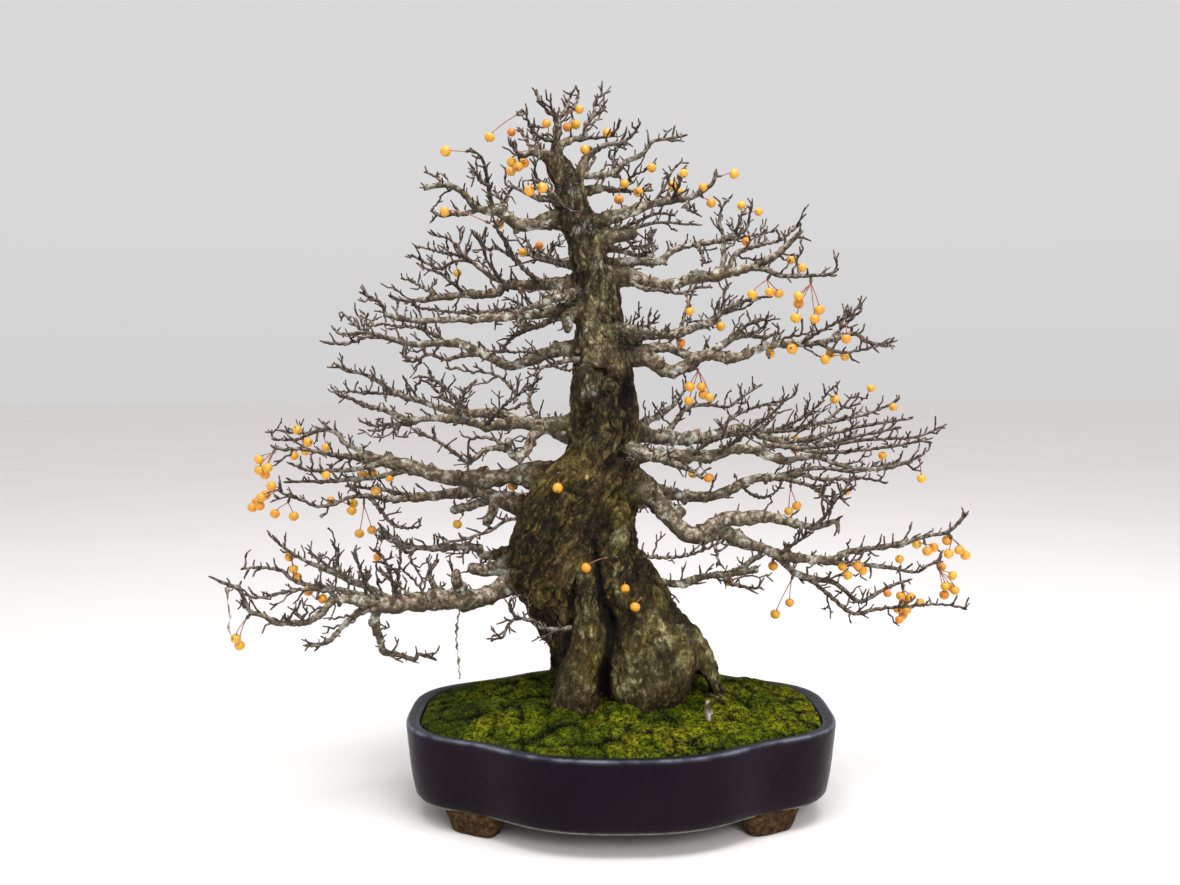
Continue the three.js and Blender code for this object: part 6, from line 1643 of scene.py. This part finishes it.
def build_pot():
    points = np.vstack([pot_ring(z, inset) for z, inset, *_ in POT_PROFILE])
    looks = {key: np.repeat([float(row[2 + i]) for row in POT_PROFILE], POT_POINTS)
             for i, key in enumerate(("rim", "edge", "band", "clay"))}
    floor_points, floor_quads = pot_floor(len(points))
    quads, tris = [lofted(len(POT_PROFILE), POT_POINTS)] + floor_quads, []
    points = np.vstack([points, floor_points])
    points += 0.35 * bent(points, 60, 3, 5)
    for side in (-1, 1):
        for end in (-1, 1):
            foot, foot_quads, foot_tris = pot_foot(side, end)
            quads.append(foot_quads + len(points))
            tris.append(foot_tris + len(points))
            points = np.vstack([points, foot])
    for key, look in looks.items():
        rest = np.full(len(points) - len(look), 1.0 if key == "clay" else 0.0)
        looks[key] = np.concatenate([look, rest])
    pot = make_piece("glazed_pot", points, [np.vstack(quads), np.vstack(tris)], [glaze_look()], looks)
    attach(pot, "root")
    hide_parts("pot")


build_pot()

# ------------------------------------------------------------------ moss
MOSS_BASE, MOSS_HEM, MOSS_EDGE, MOSS_RISE, MOSS_LUMP = 97.3, 101.0, 103.0, 24.0, 3.6
MOSS_INSET = 15.9                # gap to the pot's outline, all round
MOSS_GRID = 200
MOSS_TUFTS = 13000
STUB_PLACE, STUB_HEIGHT = (121.0, -88.0), 20.0       # a cut stub that stands in the moss


def moss_top(x, y, reach):
    """Height of the moss, and the painted shade at each point, most where it lies deep between its cushions.
    """
    mound = MOSS_RISE * (1 - np.minimum(reach, 1) ** 2) ** 0.7
    lumps = np.abs(np.sin(x / 17 + 0.6 * np.sin(y / 23))) * np.abs(np.sin(y / 14 + x / 61))
    height = MOSS_EDGE + mound + MOSS_LUMP * (2 * np.sqrt(lumps) - 1) * (1 - 0.6 * reach ** 4)
    flat = np.column_stack([x, y, 0 * x])
    flat = flat + 4 * bent(flat, 13, 1, 2)
    first, second, number = cells(flat / [24, 20, 1] + [0, 0, 0.5], 5)
    dome = np.sqrt(np.clip(1 - (first / 0.85) ** 2, 0, 1))
    small = np.sqrt(np.clip(1 - (cells(flat / [8.5, 8.5, 1] + [0, 0, 0.5], 9)[0] / 0.9) ** 2, 0, 1))
    hold = 1 - 0.8 * reach ** 6
    height = height + hold * (7.4 * (dome - 0.62) + 4.4 * (number - 0.5) + 2.4 * (small - 0.6))
    gap = 1 - smoothstep(0.0, 0.2, second - first)
    slope = smoothstep(0.42, 0.85, first) * smoothstep(-0.8, 0.3, noise(flat / 19, 15))
    # Painted shade in the gaps between the cushions and on their slopes.
    low = np.clip(0.5 * gap + 0.85 * slope + 0.5 * (1 - smoothstep(0.1, 0.5, small)), 0, 1)
    return height, low


def moss_carpet():
    """The carpet's points on a square net that is bent to the pot's outline, with its skirt and base."""
    n = MOSS_GRID
    a, b = (v.ravel() for v in np.meshgrid(np.linspace(-1, 1, n), np.linspace(-1, 1, n), indexing="ij"))
    wide = np.abs(a) > np.abs(b)
    reach = np.where(wide, a, b)
    share = np.where(wide, b, a) / np.where(reach == 0, 1, reach)
    angle = np.where(wide, np.pi / 4 * share, np.pi / 2 - np.pi / 4 * share)
    angle = np.arctan2(reach * np.sin(angle), reach * np.cos(angle))
    reach = np.abs(reach)
    outline = pot_radius(angle, MOSS_INSET)
    x, y = POT_X + outline * reach * np.cos(angle), outline * reach * np.sin(angle)
    height, low = moss_top(x, y, reach)
    p = np.column_stack([x, y, height])
    height = height + (0.9 * noise(p / 2.6, 11) + 0.5 * noise(p / 1.4, 13)) * (1 - reach ** 8)
    height[reach > 0.9999] = MOSS_HEM
    points = np.column_stack([x, y, height])
    i, j = (v.ravel() for v in np.meshgrid(np.arange(n - 1), np.arange(n - 1), indexing="ij"))
    k = i * n + j
    quads = np.stack([k, k + n, k + n + 1, k + 1], axis=1)
    border = np.concatenate([np.arange(n - 1) * n, (n - 1) * n + np.arange(n - 1),
                             np.arange(n - 1, 0, -1) * n + n - 1, np.arange(n - 1, 0, -1)])
    skirt = len(points) + np.arange(len(border))
    walls = np.stack([border, skirt, np.roll(skirt, -1), np.roll(border, -1)], axis=1)
    base = fan(skirt, len(points) + len(border), (0, 2, 1))
    points = np.vstack([points, points[border] * [1, 1, 0] + [0, 0, MOSS_BASE], [[POT_X, 0, MOSS_BASE]]])
    return points, np.vstack([quads, walls]), base, low, reach


def add_stub(surface):
    """A small cut stub, pale and split, that stands in the moss."""
    skin = Skin(["age", "bud"])
    x, y = STUB_PLACE
    ground = surface[np.argmin(np.hypot(surface[:, 0] - x, surface[:, 1] - y))][2]
    route = [(x, y, ground - 6), (x + 0.6, y, ground + 4), (x - 0.8, y - 0.5, ground + 12),
             (x + 0.5, y, ground + STUB_HEIGHT - 2), (x + 1.0, y, ground + STUB_HEIGHT)]
    skin.tube(route, [3.6, 3.2, 2.6, 2.2, 1.0], 9, age=1, bud=[0, 0, 0, 0, 0.5])
    skin.tube([(x + 1, y, ground + 1), (x + 5, y - 1, ground + 7), (x + 7.5, y - 1.5, ground + 8.5)],
              [1.7, 1.4, 0.7], 7, age=1, bud=0)
    shaped, values = roughened(skin)
    piece = skin.piece("moss_stub", [limb_skin], shaped, values)
    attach(piece, "root")


def build_moss():
    """The carpet with its tufts, each a small three-sided spike."""
    points, quads, base, low, reach = moss_carpet()
    add_stub(points[:len(low)])
    rise = len(low)
    pick = rng.integers(0, rise, MOSS_TUFTS)
    pick = pick[reach[pick] < 0.985]
    count = len(pick)
    foot = points[pick] - [0, 0, 0.7]
    foot[:, :2] += 0.9 * rng.normal(size=(count, 2))
    lean = np.column_stack([0.9 * rng.normal(size=(count, 2)), 1.4 + 1.9 * rng.random(count)])
    width = 0.45 + 0.35 * rng.random(count)
    spin = 2 * np.pi * rng.random(count)
    corners = [foot + np.column_stack([width * np.cos(spin + k), width * np.sin(spin + k), 0 * spin])
               for k in (0, 2 * np.pi / 3, 4 * np.pi / 3)]
    a, b, c, tip = (len(points) + k * count + np.arange(count) for k in range(4))
    spikes = np.vstack([np.stack(f, axis=1) for f in ((a, b, tip), (b, c, tip), (c, a, tip), (a, c, b))])
    tips = 0.35 + 0.5 * rng.random(count)
    # Painted shade: between the cushions, all over the skirt and base, and a little at the tufts' feet.
    shade = [low, np.ones(len(points) - rise), np.tile(0.4 * low[pick], 3), np.zeros(count)]
    # Painted highlight on the tufts' tips, and a little at their feet.
    light = [np.zeros(len(points)), np.full(3 * count, 0.1), tips]
    values = {"low": np.concatenate(shade), "tip": np.concatenate(light)}
    points = np.vstack([points, *corners, foot + lean])
    moss = make_piece("moss_carpet", points, [quads, np.vstack([base, spikes])], [moss_look()], values)
    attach(moss, "root")
    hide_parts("moss")


build_moss()

# ------------------------------------------------------------------ soil and drain screens
soil = frame["nodes"]["soil"]
soil.data.materials.clear()
soil.data.materials.append(soil_look())
SCREEN_SIZE, SCREEN_PITCH, SCREEN_BAR, SCREEN_MIDDLE, SCREEN_WEAVE = 34.8, 2.9, 0.3, 38.9, 0.25


def build_screen(name, side, material):
    """A square of woven plastic mesh over a drain hole."""
    skin = Skin([])
    x = POT_X + side * DRAIN_X
    count = round(SCREEN_SIZE / SCREEN_PITCH)
    t = np.linspace(-SCREEN_SIZE / 2, SCREEN_SIZE / 2, 2 * count + 1)
    for i in range(count + 1):
        at = -SCREEN_SIZE / 2 + i * SCREEN_PITCH
        lift = SCREEN_WEAVE * (-1) ** i * np.cos(np.pi * (t - t[0]) / SCREEN_PITCH)
        radii = np.full(len(t), SCREEN_BAR)
        skin.tube(np.column_stack([x + t, 0 * t + at, SCREEN_MIDDLE + lift]), radii, 6)
        skin.tube(np.column_stack([x + 0 * t + at, t, SCREEN_MIDDLE - lift]), radii, 6)
    piece = skin.piece(f"mesh_{name}", [material], *skin.arrays()[::2])
    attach(piece, "root")
    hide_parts(f"drain_screen_{name}")


plastic = screen_look()
build_screen("left", -1, plastic)
build_screen("right", 1, plastic)

# ------------------------------------------------------------------ stage, camera and light
FLOOR_REACH, FLOOR_HEIGHT = 9000.0, -0.4
SENSOR, FOCAL_PIXELS, FRAME_WIDTH = 36.0, 1200.0, 1180.0
CAMERA_PITCH, CAMERA_ROLL = 4.8, 0.28

corners = [(FLOOR_REACH * x, FLOOR_REACH * y, FLOOR_HEIGHT) for x, y in ((-1, -1), (1, -1), (1, 1), (-1, 1))]
make_piece("studio_floor", corners, [[(0, 1, 2, 3)]], [floor_look()], shift=False)

camera = in_scene("camera", bpy.data.cameras.new("camera"))
camera.data.sensor_width = SENSOR
camera.data.lens = SENSOR * FOCAL_PIXELS / FRAME_WIDTH
camera.location = Vector(0.001 * (EYE + SHIFT))
tilt = Euler((math.radians(90 - CAMERA_PITCH), 0, 0)).to_matrix()
camera.rotation_mode = "QUATERNION"
camera.rotation_quaternion = (tilt @ Matrix.Rotation(math.radians(-CAMERA_ROLL), 3, "Z")).to_quaternion()
bpy.context.scene.camera = camera

LIGHT_AIM = Vector((0, 0, 0.4))
LIGHTS = [("ceiling", (0.15, -0.6, 2.4), (2.0, 1.0), 52),      # name, place in metres, size and watts
          ("front_fill", (0.9, -2.4, 1.6), (1.2, 0.9), 30)]
for name, spot, (size, size_y), watts in LIGHTS:
    light = bpy.data.lights.new(name, "AREA")
    light.shape, light.size, light.size_y, light.energy = "RECTANGLE", size, size_y, watts
    lamp = in_scene(name, light)
    lamp.location = spot
    lamp.rotation_mode = "QUATERNION"
    lamp.rotation_quaternion = (LIGHT_AIM - Vector(spot)).to_track_quat("-Z", "Y")


# The world's brightness from the horizon up to the zenith, about the floor's own at the horizon.
WORLD_STOPS = ((0.0, 0.66), (0.12, 0.7), (0.5, 0.72), (1.0, 0.74))
WORLD_GREEN, WORLD_BLUE = 0.985, 0.99


def studio_world():
    world = bpy.data.worlds.new("studio")
    world.use_nodes = True
    nodes, links = world.node_tree.nodes, world.node_tree.links
    split = nodes.new("ShaderNodeSeparateXYZ")
    links.new(nodes.new("ShaderNodeTexCoord").outputs["Generated"], split.inputs[0])
    ramp = nodes.new("ShaderNodeValToRGB")
    set_stops(ramp.color_ramp, [(at, (grey, WORLD_GREEN * grey, WORLD_BLUE * grey, 1))
                                for at, grey in WORLD_STOPS])
    links.new(split.outputs["Z"], ramp.inputs[0])
    links.new(ramp.outputs["Color"], nodes["Background"].inputs["Color"])
    bpy.context.scene.world = world


studio_world()
bpy.context.scene.view_settings.view_transform = "Standard"
